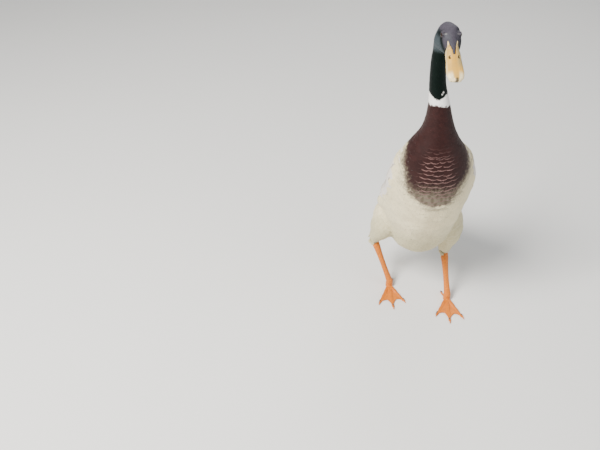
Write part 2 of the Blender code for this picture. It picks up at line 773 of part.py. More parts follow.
def tail():
    """The tail's root with its fan of feathers, coverts above and below it, and the curled feathers."""
    root, direction, _, _, sizes = BODY.frame(0)
    stations = [(*(root + direction * TAIL_ROOT_START), *sizes)]
    stations += [(*tail_line(0, share, -0.001), *row) for share, *row in TAIL_ROOT]
    core_tube = Tube(stations, up=(0, 0, 1))
    core = core_tube.mesh("tail", "tail", 0, core_tube.length, 6, 16)
    vanes = []
    for k in range(TAIL_FEATHERS):
        share = 2 * k / (TAIL_FEATHERS - 1) - 1
        reach = 1 - TAIL_OUTER_SHORTER * share**2
        rise = TAIL_TOP - TAIL_STEP * abs(k - TAIL_FEATHERS / 2 + 0.75)
        half = TAIL_FEATHER_HALF_WIDTH
        vanes.append(
            tail_vane(f"rectrix_{k}", share * TAIL_SPREAD, TAIL_FEATHER_START, reach, half, rise, rise)
        )
    for name, spread, reach, root_rise, tip_rise in TAIL_COVERTS:
        for k in range(COVERTS_A_SIDE):
            share = 2 * k / (COVERTS_A_SIDE - 1) - 1
            end = reach - COVERT_SHORTER * abs(share)
            half = COVERT_HALF_WIDTH
            vanes.append(
                tail_vane(f"{name}_{k}", share * spread, COVERT_START, end, half, root_rise, tip_rise)
            )
    for k, (sideways, radius) in enumerate(CURLS):
        start = tail_line(0, CURL_START[0], CURL_START[1] + CURL_LIFT * k)
        vanes.append(tail_curl(f"curl_{k}", sideways, start, radius))
    fuse(core, vanes)
    carve(core, body_room())
    keep_largest(core)


def legs():
    for name, leg in LEGS.items():
        hip, top, ankle = (place(*leg[key]) for key in ("hip", "top", "ankle"))
        shank("shank_" + name, top, ankle)
        upper = thigh(name, leg["side"], hip, top)
        carve(upper, body_room(), shank("shank_room", top, ankle, SEAT))
        keep_largest(upper)
        foot(name, leg["side"], ankle, math.radians(leg["toes_in"]))


def thigh(name, side, hip, top):
    """The feathered leg from the flank to the top of the bare shank."""
    way = top - Vector((0, 0, THIGH_OVER_SHANK)) - hip
    rows = []
    for share, half, deep in THIGH:
        outward = side * THIGH_OUTWARD * math.sin(math.pi * min(1.0, share * 1.15))
        rows.append((*(hip + way * share + Vector((outward, 0, 0))), half, deep, deep))
    tube = Tube(rows, up=(0, -1, 0))
    return tube.mesh("thigh_" + name, "cream", 0, tube.length, 9, 18)


def shank(name, top, ankle, lift=0.0):
    """The bare leg: the hock just under the feathers and the shank down to the ankle."""
    rows = [(*(top + (ankle - top) * share), wide, deep, deep) for share, wide, deep in SHANK]
    tube = Tube(rows, up=(0, -1, 0), along=(0, 0, -1))
    return tube.mesh(name, "leg", -lift, tube.length, 12, 12, lift)


def toe(name, start, end, half, claw):
    """A toe with a flat sole, thicker at its joints, and its claw."""
    rows = []
    way = end - start
    for k in range(TOE_JOINTS + 1):
        share = k / TOE_JOINTS
        knob = 1.0 if k % 2 == 0 else TOE_WAIST
        wide = half * (1 - 0.42 * share) * knob
        high = TOE_HEIGHT * (1 - 0.50 * share) * knob / 2
        middle = start + way * share
        rows.append((middle.x, middle.y, high - SOLE_CUT, wide, high, high))
    tube = Tube(rows, up=(0, 0, 1), power=2.4)
    made = tube.mesh(name, "leg", 0, tube.length, 9, 8)
    direction = way.normalized()
    rows = []
    for share, wide in CLAW:
        middle = end + direction * (claw * share)
        rows.append((middle.x, middle.y, CLAW_HEIGHT - CLAW_DROP * max(0.0, share) ** 2, wide, wide, wide))
    nail = Tube(rows, up=(0, 0, 1))
    return [made, nail.mesh(name + "_claw", "leg", 0, nail.length, 4, 6)]


def foot(name, side, ankle, toes_in):
    """Three webbed front toes and a small hind toe, with a heel that meets the shank."""
    _, ankle_wide, ankle_deep = SHANK[-1]
    wide, deep = HEEL_SIZE
    heel = Tube(
        (
            (ankle.x, ankle.y, ankle.z - GAP, ankle_wide, ankle_deep, ankle_deep),
            (ankle.x, ankle.y - HEEL_BACK / 2, ankle.z / 2, wide, deep, deep),
            (ankle.x, ankle.y - HEEL_BACK, -SOLE_CUT, wide, deep, deep),
        ),
        up=(0, -1, 0),
        along=(0, 0, -1),
    )
    base = heel.mesh("foot_" + name, "leg", 0, heel.length, 5, 12)
    start = Vector((ankle.x, ankle.y - HEEL_BACK, 0))
    spokes, pieces = [], []
    for k, (off, length, half) in enumerate(TOES):
        turn = side * (math.radians(off) - toes_in)
        direction = Vector((math.sin(turn), -math.cos(turn), 0))
        spokes.append(direction * length)
        pieces += toe(f"toe_{name}_{k}", start, start + direction * length, half, CLAW_LENGTH)
    back = Vector((-side * HIND_TOE_SIDEWAYS, 1, 0)).normalized() * HIND_TOE_LENGTH
    pieces += toe(f"hind_toe_{name}", start, start + back, HIND_TOE_HALF_WIDTH, HIND_CLAW_LENGTH)
    for k in range(len(spokes) - 1):
        pieces.append(web(f"web_{name}_{k}", start, spokes[k], spokes[k + 1]))
    fuse(base, pieces)
    carve(base, under_floor())
    keep_largest(base)


def under_floor():
    """A slab below the floor, to cut the soles flat."""
    size = 0.4
    corners = [(x * size, y * size, z) for z in (-0.02, 0) for y in (-1, 1) for x in (-1, 1)]
    faces = ((0, 1, 3, 2), (4, 6, 7, 5), (0, 4, 5, 1), (1, 5, 7, 3), (3, 7, 6, 2), (2, 6, 4, 0))
    return add_object("under_floor", corners, faces, "leg")


def web(name, start, first, second):
    """The skin between two toes, its front edge bowed back."""
    rows = columns = 5
    grid = []
    for r in range(rows):
        out = r / (rows - 1)
        way = WEB_START + (WEB_END - WEB_START) * out
        row = []
        for c in range(columns):
            share = c / (columns - 1)
            middle = math.sin(math.pi * share)
            point = start + first.lerp(second, share) * (way * (1 - WEB_BOW * middle * out))
            row.append(Vector((point.x, point.y, WEB_HEIGHT + WEB_THICK / 2 + WEB_RIPPLE * middle)))
        grid.append(row)
    return plate(name, grid, [[Vector((0, 0, 1))] * columns] * rows, [WEB_THICK] * rows, "leg")


def centre_on_origin():
    """Hangs all parts on one empty that puts the middle of their box over the origin."""
    parts = [thing for thing in bpy.context.scene.objects if thing.type == "MESH"]
    corners = np.array([thing.matrix_world @ v.co for thing in parts for v in thing.data.vertices])
    low, high = corners.min(axis=0), corners.max(axis=0)
    frame = bpy.data.objects.new("drake", None)
    bpy.context.scene.collection.objects.link(frame)
    frame.location = (-(low[0] + high[0]) / 2, -(low[1] + high[1]) / 2, -low[2])
    for thing in parts:
        thing.parent = frame


def main():
    clear_scene()
    torso_and_neck()
    bill_and_head()
    wings()
    tail()
    legs()
    centre_on_origin()


main()
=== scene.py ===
"""The looks of a life-size Indian runner drake: skin, plumage, bill, eyes, legs and a plain studio."""

import json
import math

import bpy
import numpy as np
from bpy.props import FloatProperty, FloatVectorProperty, PointerProperty
from mathutils import Matrix, Vector
from mathutils.bvhtree import BVHTree

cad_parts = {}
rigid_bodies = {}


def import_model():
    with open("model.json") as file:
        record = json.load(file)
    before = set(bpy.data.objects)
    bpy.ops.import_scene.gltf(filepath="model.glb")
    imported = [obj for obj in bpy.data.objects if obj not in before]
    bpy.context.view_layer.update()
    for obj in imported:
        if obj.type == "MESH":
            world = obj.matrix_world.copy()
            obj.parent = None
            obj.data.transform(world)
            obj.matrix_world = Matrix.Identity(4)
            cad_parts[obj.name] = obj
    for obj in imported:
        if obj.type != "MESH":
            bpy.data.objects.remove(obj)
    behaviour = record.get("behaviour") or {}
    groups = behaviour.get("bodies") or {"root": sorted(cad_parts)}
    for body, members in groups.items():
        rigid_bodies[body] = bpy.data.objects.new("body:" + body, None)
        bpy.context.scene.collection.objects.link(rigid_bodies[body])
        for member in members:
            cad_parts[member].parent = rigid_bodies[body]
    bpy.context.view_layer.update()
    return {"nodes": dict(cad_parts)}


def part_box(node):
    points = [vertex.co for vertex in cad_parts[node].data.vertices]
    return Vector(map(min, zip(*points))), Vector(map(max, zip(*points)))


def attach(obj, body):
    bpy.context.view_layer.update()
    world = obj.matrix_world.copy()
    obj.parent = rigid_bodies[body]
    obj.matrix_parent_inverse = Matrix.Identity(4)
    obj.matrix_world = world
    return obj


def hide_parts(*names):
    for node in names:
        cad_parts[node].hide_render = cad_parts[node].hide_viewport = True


bl_info = {
    "name": "Indian Runner Drake",
    "version": (1, 0, 0),
    "blender": (4, 5, 0),
    "location": "3D View > Sidebar > Drake",
    "description": "Dresses the solid model of an Indian runner drake in skin and plumage",
    "category": "Object",
}

for leftover in list(bpy.data.objects):
    bpy.data.objects.remove(leftover)
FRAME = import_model()

# The line that the plumage lies along, from the bill's root over the head, down the neck and back to the tail
LIE_LINE = (
    (-0.0181, -0.1500, 0.5500),
    (-0.0178, -0.1272, 0.5560),
    (-0.0186, -0.1132, 0.5555),
    (-0.0208, -0.1052, 0.5480),
    (-0.0233, -0.1017, 0.5370),
    (-0.0253, -0.1012, 0.5240),
    (-0.0243, -0.1052, 0.4910),
    (-0.0181, -0.1102, 0.4540),
    (-0.0141, -0.1112, 0.4120),
    (-0.0127, -0.1052, 0.3710),
    (-0.0078, -0.0902, 0.3250),
    (-0.0048, -0.0662, 0.2760),
    (-0.0045, -0.0322, 0.2270),
    (-0.0033, 0.0048, 0.1840),
    (-0.0033, 0.0448, 0.1560),
    (-0.0043, 0.0828, 0.1410),
    (-0.0093, 0.1250, 0.1380),
)
# Points on a line, and points looked at in one go
LINE_STEPS = 480
THIGH_STEPS = 120
AT_ONCE = 4000
# Share of the line that lies on the head
HEAD_SHARE = 0.12
FLESH = ("torso", "neck_lower", "neck_upper", "head", "thigh_left", "thigh_right")
SIDES = (("left", 1), ("right", -1))


def smooth_step(value, low, high):
    """0 below low, 1 above high and a soft turn between."""
    share = np.clip((np.asarray(value, float) - low) / (high - low), 0, 1)
    return share * share * (3 - 2 * share)


def falling(value, low, high):
    """1 below low, 0 above high and a soft turn between."""
    return smooth_step(-np.asarray(value, float), -high, -low)


def curve(knots, values, at):
    """A smooth curve through the values, read at the given places."""
    knots = np.asarray(knots, float)
    values = np.asarray(values, float)
    slopes = np.gradient(values, knots, axis=0)
    at = np.clip(np.asarray(at, float), knots[0], knots[-1])
    low = np.clip(np.searchsorted(knots, at, side="right") - 1, 0, len(knots) - 2)
    span = knots[low + 1] - knots[low]
    t = (at - knots[low]) / span
    if values.ndim > 1:
        t, span = t[..., None], span[..., None]
    return (
        (2 * t**3 - 3 * t**2 + 1) * values[low]
        + (t**3 - 2 * t**2 + t) * span * slopes[low]
        + (3 * t**2 - 2 * t**3) * values[low + 1]
        + (t**3 - t**2) * span * slopes[low + 1]
    )


def unit(vectors):
    """The vectors at length one."""
    return vectors / np.maximum(np.linalg.norm(vectors, axis=-1, keepdims=True), 1e-12)


def apart(first, second):
    """How far each first point lies from its second one."""
    return np.linalg.norm(first - second, axis=-1)


def within(axes, points):
    """Points in those axes: three rows, to the side, ahead and up."""
    back = np.array(axes.inverted())
    return (points @ back[:3, :3].T + back[:3, 3]).T


def outline(shape):
    """An outline's places along the feather, and its widths there."""
    return np.array(shape).T


def turn_share(aside, ahead):
    """The angle round an axis as a share of a full turn."""
    return np.arctan2(aside, ahead) / (2 * math.pi) + 0.5


def toward(value, goal, share):
    """The value moved that share of the way to the goal."""
    return value + (goal - value) * share


def even_out(rows):
    """Evens the inner rows out, in place."""
    rows[1:-1] = (rows[:-2] + 2 * rows[1:-1] + rows[2:]) / 4


def flatten(ways, normals):
    """The ways laid into the surface."""
    return unit(ways - normals * np.sum(ways * normals, axis=-1, keepdims=True))


class LieLine:
    """The line through the bird with its direction, its side and its upper direction all along."""

    def __init__(self, points, steps=LINE_STEPS):
        points = np.asarray(points, float)
        knots = np.concatenate([[0], np.cumsum(np.linalg.norm(np.diff(points, axis=0), axis=1))])
        fine = curve(knots, points, np.linspace(0, knots[-1], steps * 3))
        lengths = np.concatenate([[0], np.cumsum(np.linalg.norm(np.diff(fine, axis=0), axis=1))])
        self.length = lengths[-1]
        self.at = np.linspace(0, self.length, steps)
        self.points = np.stack([np.interp(self.at, lengths, fine[:, k]) for k in range(3)], axis=1)
        self.ways = unit(np.gradient(self.points, axis=0))
        self.sides = flatten(np.array([1.0, 0.0, 0.0]), self.ways)
        self.uppers = np.cross(self.sides, self.ways)

    def index(self, at):
        """The numbers of the points nearest to those places on the line."""
        last = len(self.at) - 1
        return np.clip(np.rint(np.asarray(at) / self.length * last).astype(int), 0, last)

    def locate(self, points):
        """How far along the line each point lies, and its angle from the upper side, to the left positive."""
        points = np.asarray(points, float)
        found = np.empty(len(points), int)
        for start in range(0, len(points), AT_ONCE):
            part = points[start : start + AT_ONCE]
            gaps = ((part[:, None, :] - self.points[None]) ** 2).sum(axis=2)
            found[start : start + AT_ONCE] = gaps.argmin(axis=1)
        out = points - self.points[found]
        angle = np.arctan2((out * self.sides[found]).sum(axis=1), (out * self.uppers[found]).sum(axis=1))
        return self.at[found], angle

    def rays(self, at, angles):
        """Where the line is at those places, and the directions out from it at those angles."""
        spot = self.index(at)
        angles = np.asarray(angles, float)[..., None]
        return self.points[spot], self.uppers[spot] * np.cos(angles) + self.sides[spot] * np.sin(angles)


LINE = LieLine(LIE_LINE)


def place_at_height(height):
    """The place on the line of that height, on the neck or the trunk."""
    below_head = LINE.at > LINE.length * HEAD_SHARE
    return float(LINE.at[below_head][np.argmin(abs(LINE.points[below_head, 2] - height))])


def place_behind(back):
    """The place on the line that lies that far back."""
    return float(LINE.at[np.argmin(abs(LINE.points[:, 1] - back))])


class Surface:
    """A mesh to lay feathers on."""

    def __init__(self, points, faces):
        self.points = np.asarray(points, float)
        self.faces = faces
        self.tree = BVHTree.FromPolygons([Vector(p) for p in self.points], faces)
        corners = np.array([list(face[:3]) for face in faces])
        a, b, c = (self.points[corners[:, k]] for k in range(3))
        flat = np.cross(b - a, c - a)
        smooth = np.zeros_like(self.points)
        for k in range(3):
            np.add.at(smooth, corners[:, k], flat)
        if len(faces[0]) == 4:
            np.add.at(smooth, np.array([face[-1] for face in faces]), flat)
        smooth = unit(smooth)
        self.normals = unit(smooth[corners].sum(axis=1))
        self.vertex_normals = smooth

    def middles(self):
        """The middle of each face."""
        return np.array([self.points[list(face)].mean(axis=0) for face in self.faces])

    def settle(self, points):
        """The nearest places on the surface and their normals."""
        flat = points.reshape(-1, 3)
        spots, normals = np.empty_like(flat), np.empty_like(flat)
        for k, point in enumerate(flat):
            spots[k], _, face, _ = self.tree.find_nearest(point)
            normals[k] = self.normals[face]
        return spots.reshape(points.shape), normals.reshape(points.shape)

    def cast(self, starts, ways):
        """Where rays first meet the surface. A ray that misses gives not-a-number."""
        spots, normals = np.full((2, *starts.shape), np.nan)
        for k, (start, way) in enumerate(zip(starts, ways)):
            spot, _, face, _ = self.tree.ray_cast(start, way)
            if spot is not None:
                spots[k], normals[k] = spot, self.normals[face]
        return spots, normals


def joined(*forms):
    """Several forms of points and faces as one."""
    points, faces = [], []
    for more_points, more_faces in forms:
        start = len(points)
        points += [tuple(p) for p in more_points]
        faces += [tuple(start + k for k in face) for face in more_faces]
    return points, faces


def node_surface(*names):
    """The meshes of the frame's nodes as one list of points and faces."""
    meshes = [FRAME["nodes"][name].data for name in names]
    return joined(*(([v.co for v in mesh.vertices], [face.vertices for face in mesh.polygons]) for mesh in meshes))


def placed(name, data):
    """An object of the scene with that data."""
    made = bpy.data.objects.new(name, data)
    bpy.context.scene.collection.objects.link(made)
    return made


def mesh_object(name, points, faces):
    """A plain object from lists of points and faces."""
    mesh = bpy.data.meshes.new(name)
    mesh.from_pydata([tuple(p) for p in points], [], faces)
    mesh.update()
    return placed(name, mesh)


def melted(name, points, faces, grain, rounds):
    """The given closed forms as one even, smooth surface: points and faces."""
    lump = mesh_object(name, points, faces)
    remesh = lump.modifiers.new("even", "REMESH")
    remesh.mode = "VOXEL"
    remesh.voxel_size = grain
    remesh.adaptivity = 0
    soften = lump.modifiers.new("soften", "SMOOTH")
    soften.factor = 0.5
    soften.iterations = rounds
    graph = bpy.context.evaluated_depsgraph_get()
    shaped = lump.evaluated_get(graph).to_mesh()
    places = np.empty(len(shaped.vertices) * 3)
    shaped.vertices.foreach_get("co", places)
    made = [tuple(face.vertices) for face in shaped.polygons]
    lump.evaluated_get(graph).to_mesh_clear()
    bpy.data.objects.remove(lump)
    return places.reshape(-1, 3), made


# Measures of the skin: mesh size, softening, and the trunk's rings under the folded wings
SKIN_GRAIN = 0.0017
SKIN_ROUNDS = 3
SKIN_DARKER = 0.85
SEED = 11
TRUNK_TOP = 0.430
TRUNK_RINGS = 120
TRUNK_AROUND = 96
TRUNK_ROUNDS = 3
TRUNK_END = 0.0835
LEAST_REACH = 0.015
# Where rays toward the bird start, far outside it
OUTSIDE = 0.20
# The tail's fleshy root: its place; then how far back, half its width, its height and its depth
TAIL_ROOT_PLACE = Vector((-0.009282, 0.08679, 0.139))
TAIL_ROOT = (
    (-0.010, 0.0190, 0.0150, 0.0170),
    (0.016, 0.0215, 0.0120, 0.0165),
    (0.033, 0.0175, 0.0080, 0.0113),
    (0.050, 0.0110, 0.0038, 0.0046),
)
TAIL_ROOT_DROP = 0.03
# Fullness of the flank feathers between wing and thigh: height, angle from the back in degrees, how far out,
# and over which height and angle
FLANK_HEIGHT, FLANK_ANGLE, FLANK_OUT, FLANK_TALL, FLANK_WIDE = 0.235, 100, 0.0030, 0.03, 22

# Where the thighs run, from the hip to the top of the bare shank
THIGH_LINES = {
    "left": (
        (0.0407, -0.0402, 0.225), (0.0407, -0.0402, 0.200), (0.0505, -0.0290, 0.150), (0.0567, -0.0172, 0.086),
    ),
    "right": (
        (-0.0438, -0.0352, 0.222), (-0.0438, -0.0352, 0.197), (-0.0640, -0.0150, 0.150), (-0.0793, 0.0068, 0.095),
    ),
}
THIGHS = {name: LieLine(points, THIGH_STEPS) for name, points in THIGH_LINES.items()}

# The head's own axes: x to the right, y ahead, z up; and the bill's, tilted further down
HEAD_AXES = (
    Matrix.Translation((-0.018282, -0.11321, 0.5595))
    @ Matrix.Rotation(math.pi + math.radians(1.2), 4, "Z")
    @ Matrix.Rotation(math.radians(-9), 4, "X")
)
BILL_AXES = HEAD_AXES @ Matrix.Translation((0, 0.0165, -0.0060)) @ Matrix.Rotation(math.radians(-13), 4, "X")
EYE_RADIUS = 0.0046
# The eye on the side of the head, ahead and up, and the way it looks in the head's axes
EYE_SPOT = (0.0042, 0.0064)
EYE_LOOK = (1.0, 0.28, 0.06)
# Soft unevenness of the belly's and the flanks' loose feathers: two waves, and how high
LUMPS = ((110.0, 60.0, 95.0), (-70.0, 50.0, 120.0))
LUMP_HEIGHT = 0.0009
# Over which height the waves fade out, and over which distance a thigh stands free of the trunk
LUMPS_BELOW = (0.24, 0.30)
THIGH_NEAR, THIGH_OUT = 0.045, (0.0005, 0.004)
# Heights where the plumage is of the neck's and of the trunk's depth, and how close bill and eyes make it thinner
DEPTH_HEIGHTS = (0.50, 0.39)
HEAD_LOW = 0.51
BILL_CLEAR, EYE_CLEAR, EYE_FULL = (0.0004, 0.0035), (0.0050, 0.0090), (0.0058, 0.0095)
# Length of the thigh's lower end whose feathers hang free over the shank
THIGH_HANG = 0.010
# The prongs of the bill in its axes: from where to where, and half their width
PRONG = ((0.0064, 0.0125, 0.0080), (0.0063, -0.0014, 0.0112))
PRONG_HALF, PRONG_TIP, PRONG_THICK, PRONG_UNDER = 0.0040, 0.0003, 0.0011, 0.0008
PRONG_STEPS, PRONG_ROUNDS = 14, 6
# The bill's root under the feathered wedge of the forehead: half its width, how deep it lies and reaches
WEDGE_HALF, WEDGE_DEEP, WEDGE_UNDER = 0.0044, 0.0016, 0.0028
# The eyeball's mesh, and its bulge over the iris and how wide that is
EYE_RINGS, EYE_AROUND, EYE_BULGE, IRIS_TILT = 30, 48, 0.04, 0.62
# The almond between the lids, as angles at the middle of the eye, and the bare rim round it
LID_WIDE, LID_UPPER, LID_LOWER = math.radians(47), math.radians(33), math.radians(35)
# The lids' section, as share of the way out and height over the eyeball, how far round they reach, and their rim
LID_PROFILE = (
    (0.0, -0.0004), (0.0, 0.0001), (0.05, 0.0004), (0.12, 0.0005), (0.2, 0.00034), (0.5, 0.00022), (1.0, 0.0),
)
LID_AROUND, LID_OUTER, LID_RIM_SHARE = 56, math.radians(105), 0.15
LID_RIM, LID_RIM_AHEAD = math.radians(9), math.radians(16)
# Loose feathers beyond the solids: place, radius, how far out
FULL_PLACES = (
    (tuple(HEAD_AXES @ Vector((0.0140, -0.0060, -0.0105))), 0.0110, 0.0036),
    (tuple(HEAD_AXES @ Vector((-0.0140, -0.0060, -0.0105))), 0.0100, 0.0010),
    (tuple(HEAD_AXES @ Vector((-0.0100, -0.0030, 0.0120))), 0.0085, 0.0023),
    (tuple(HEAD_AXES @ Vector((0.0115, -0.0040, 0.0120))), 0.0070, -0.0018),
    ((-0.0780, -0.0100, 0.1900), 0.0170, 0.0055),
    ((-0.0760, -0.0300, 0.2250), 0.0260, 0.0050),
    ((0.0600, -0.0200, 0.2150), 0.0240, 0.0030),
)

# Outlines of a feather or scale: how far along, how wide
SCALLOP = ((0.0, 0.45), (0.3, 0.85), (0.6, 1.0), (0.78, 0.93), (0.92, 0.66), (1.0, 0.24))
SOFT = ((0.0, 0.4), (0.25, 0.8), (0.55, 1.0), (0.8, 0.85), (0.93, 0.5), (1.0, 0.12))
SMALL = ((0.0, 0.6), (0.35, 1.0), (0.75, 0.85), (1.0, 0.25))
STRAND = ((0.0, 0.7), (0.4, 1.0), (0.75, 0.7), (1.0, 0.1))
QUILL = ((0.0, 0.28), (0.12, 0.62), (0.3, 0.9), (0.5, 1.0), (0.7, 0.98), (0.86, 0.82), (0.96, 0.46), (1.0, 0.12))
SCUTE = ((0.0, 0.80), (0.25, 0.98), (0.6, 1.0), (0.88, 0.86), (1.0, 0.55))
POINTED = ((0.0, 0.3), (0.15, 0.7), (0.35, 1.0), (0.6, 0.9), (0.8, 0.6), (0.93, 0.28), (1.0, 0.05))


class Bird:
    """What the operators share: the skin, the trunk's form, the bill's surface and the random draws."""

    skin = None
    trunk = None
    bill = None
    dice = None


def trunk_reach():
    """How far the trunk and the folded wings reach out from the line: places, angles and a grid of reaches."""
    solid = Surface(*node_surface("torso", "wing_left", "wing_right", "neck_lower"))
    at = np.linspace(place_at_height(TRUNK_TOP), place_behind(TRUNK_END), TRUNK_RINGS)
    angles = np.linspace(-math.pi, math.pi, TRUNK_AROUND, endpoint=False)
    centres, ways = LINE.rays(*(grid.ravel() for grid in np.meshgrid(at, angles, indexing="ij")))
    spots, _ = solid.cast(centres + ways * OUTSIDE, -ways)
    reach = apart(spots, centres).reshape(len(at), len(angles))
    for ring in reach:
        missing = np.isnan(ring)
        ring[missing] = np.nanmin(ring) if not missing.all() else LEAST_REACH
    for _ in range(TRUNK_ROUNDS):
        reach = (np.roll(reach, 1, axis=1) + 2 * reach + np.roll(reach, -1, axis=1)) / 4
        even_out(reach)
    heights = LINE.points[LINE.index(at), 2][:, None]
    aside = (np.degrees(abs(angles))[None] - FLANK_ANGLE) / FLANK_WIDE
    return at, angles, reach + FLANK_OUT * np.exp(-(((heights - FLANK_HEIGHT) / FLANK_TALL) ** 2) - aside**2)


def ring_loft(rings):
    """A closed form through rings of points, with flat ends."""
    around = len(rings[0])
    last = (len(rings) - 1) * around
    faces = []
    for r in range(0, last, around):
        for k in range(around):
            j = (k + 1) % around
            faces.append((r + k, r + j, r + around + j, r + around + k))
    faces.append(tuple(reversed(range(around))))
    faces.append(tuple(last + k for k in range(around)))
    return [tuple(p) for ring in rings for p in ring], faces


def prong_forms():
    """The bill's two narrow prongs beside the forehead, and its root under the feathers between them."""
    shell = Surface(*node_surface("head", "bill_upper"))
    low, high = np.array(PRONG)
    forms = []
    for side in (-1, 0, 1):
        share = np.linspace(0, 1, PRONG_STEPS)
        path = low + (high - low) * share[:, None]
        path[:, 0] *= side
        spots, normals = shell.settle(np.array([list(BILL_AXES @ Vector(p)) for p in path]))
        for _ in range(PRONG_ROUNDS):
            even_out(spots)
            even_out(normals)
        normals = unit(normals)
        across = unit(np.cross(unit(np.gradient(spots, axis=0)), normals))
        rings = []
        for k, t in enumerate(share):
            over = np.linspace(-1, 1, 9)[:, None]
            if side:
                half = PRONG_HALF * (1 - t) + PRONG_TIP
                thick = PRONG_THICK * float(smooth_step(t, 0.0, 0.4)) * (1 - 0.4 * t) * np.sqrt(1 - over * over)
                under = PRONG_UNDER
            else:
                half, thick, under = WEDGE_HALF, -WEDGE_DEEP, WEDGE_UNDER
            laid, _ = shell.settle(spots[k] + across[k] * half * over)
            rings.append(np.concatenate([laid + normals[k] * thick, laid[::-1] - normals[k] * under]))
        forms.append(ring_loft(rings))
    return joined(*forms)


def tail_root_rings():
    """The fleshy root of the tail, under its feathers."""
    turns = [2 * math.pi * k / 32 for k in range(32)]
    rings = []
    for back, half, top, bottom in TAIL_ROOT:
        ring = []
        for turn in turns:
            deep = top if math.cos(turn) > 0 else bottom
            spot = Vector((half * math.sin(turn), back, deep * math.cos(turn) - TAIL_ROOT_DROP * back))
            ring.append(TAIL_ROOT_PLACE + spot)
        rings.append(ring)
    return rings


def reach_at(at, angles):
    """The trunk's reach at places along the line and angles round it."""
    line_at, line_angles, reach = Bird.trunk
    row = np.clip((at - line_at[0]) / (line_at[1] - line_at[0]), 0, len(line_at) - 1.001)
    column = (angles - line_angles[0]) / (line_angles[1] - line_angles[0]) % len(line_angles)
    r, c = row.astype(int), column.astype(int) % len(line_angles)
    j = (c + 1) % len(line_angles)
    fr, fc = row - r, column - np.floor(column)
    upper = reach[r, c] * (1 - fc) + reach[r, j] * fc
    lower = reach[r + 1, c] * (1 - fc) + reach[r + 1, j] * fc
    return upper * (1 - fr) + lower * fr


def over_trunk(points):
    """How far points stand out of the trunk's form. Above the trunk this is below nought."""
    at, angles = LINE.locate(points)
    out = apart(points, LINE.points[LINE.index(at)])
    return np.where(at < Bird.trunk[0][0], -1.0, out - reach_at(at, angles))


def thigh_share(points):
    """1 on the free part of a thigh, 0 on the trunk."""
    near = np.zeros(len(points))
    for thigh in THIGHS.values():
        near = np.maximum(near, np.min([apart(points, p) for p in thigh.points[::12]], axis=0) < THIGH_NEAR)
    return near * smooth_step(over_trunk(points), *THIGH_OUT)


def eye_gap(points, side):
    """How far points lie from the middle of an eye."""
    return apart(points, np.array(eye_frame(side)[0]))


def coat_depth(points):
    """How deep the plumage is at points of the body."""
    at, _ = LINE.locate(points)
    settings = bpy.context.scene.drake_coat
    head, trunk = settings.head_depth, settings.body_depth
    knots = [0, *(place_at_height(height) for height in DEPTH_HEIGHTS), LINE.length]
    depth = curve(knots, [head, head * 1.5, trunk, trunk], at)
    high = np.flatnonzero(points[:, 2] > HEAD_LOW)
    if len(high):
        spots, _ = Bird.bill.settle(points[high])
        depth[high] *= 0.4 + 0.6 * smooth_step(apart(spots, points[high]), *BILL_CLEAR)
    for _, side in SIDES:
        depth *= 0.50 + 0.50 * smooth_step(eye_gap(points, side), *EYE_CLEAR)
    return depth


def fullness(points):
    """How far loose feathers fill the form out beyond the solids."""
    out = np.zeros(len(points))
    for place, radius, high in FULL_PLACES:
        out += high * np.exp(-((apart(points, np.array(place)) / radius) ** 2))
    for _, side in SIDES:
        out *= smooth_step(eye_gap(points, side), *EYE_FULL)
    swell = np.sin(points @ np.array(LUMPS[0])) * np.sin(points @ np.array(LUMPS[1]) + 1.0)
    return out + LUMP_HEIGHT * swell * falling(points[:, 2], *LUMPS_BELOW)


def paint(name):
    """A colour from the settings."""
    return np.array(getattr(bpy.context.scene.drake_colours, name)[:3])


def mixed(first, second, share):
    """Between two colours, or two rows of colours."""
    share = np.asarray(share, float)[:, None]
    return first * (1 - share) + second * share


# The claret bib: half its width in degrees round the breast at those heights, and how much narrower it is on the left
BIB_HEIGHTS = (0.288, 0.294, 0.303, 0.317, 0.340, 0.360, 0.378, 0.395, 0.412)
BIB_HALVES = (0, 24, 38, 51, 66, 80, 100, 140, 215)
BIB_NARROWER, BIB_NARROWS = 0.28, (0.322, 0.352)
# Heights over which these turn up or fade: the bib's mottled edge, silver fringes, stray claret feathers
MOTTLED, MOTTLED_SIDES, SILVER, STRAYS = (0.300, 0.336), (0.372, 0.392), (0.365, 0.410), (0.278, 0.40)
BODY_BELOW = (0.385, 0.40)
# The lower belly turns darker olive over these heights, partly a stain and partly painted shade under the body; then
# its half width in degrees from the front
BELLY, BELLY_HALF = (0.15, 0.24), 70
BACK_TURN, RUMP_TURN = (112, 138), (100, 125)
RUMP_BEFORE_END = (0.135, 0.095)
# The white ring: its edges, its dip at an angle and the width of that, and how soft its edges are
RING_LOW, RING_TOP, RING_SOFT = 0.4580, 0.4752, 0.0005
RING_DIP_AT, RING_DIP_WIDE, RING_DIP_LOW, RING_DIP_TOP = 193, 38, 0.0025, 0.0060
# White spots over the ring: angle, width in degrees, height, half height
SPOTS = ((157, 5, 0.4795, 0.0012), (167, 4, 0.4768, 0.0011))


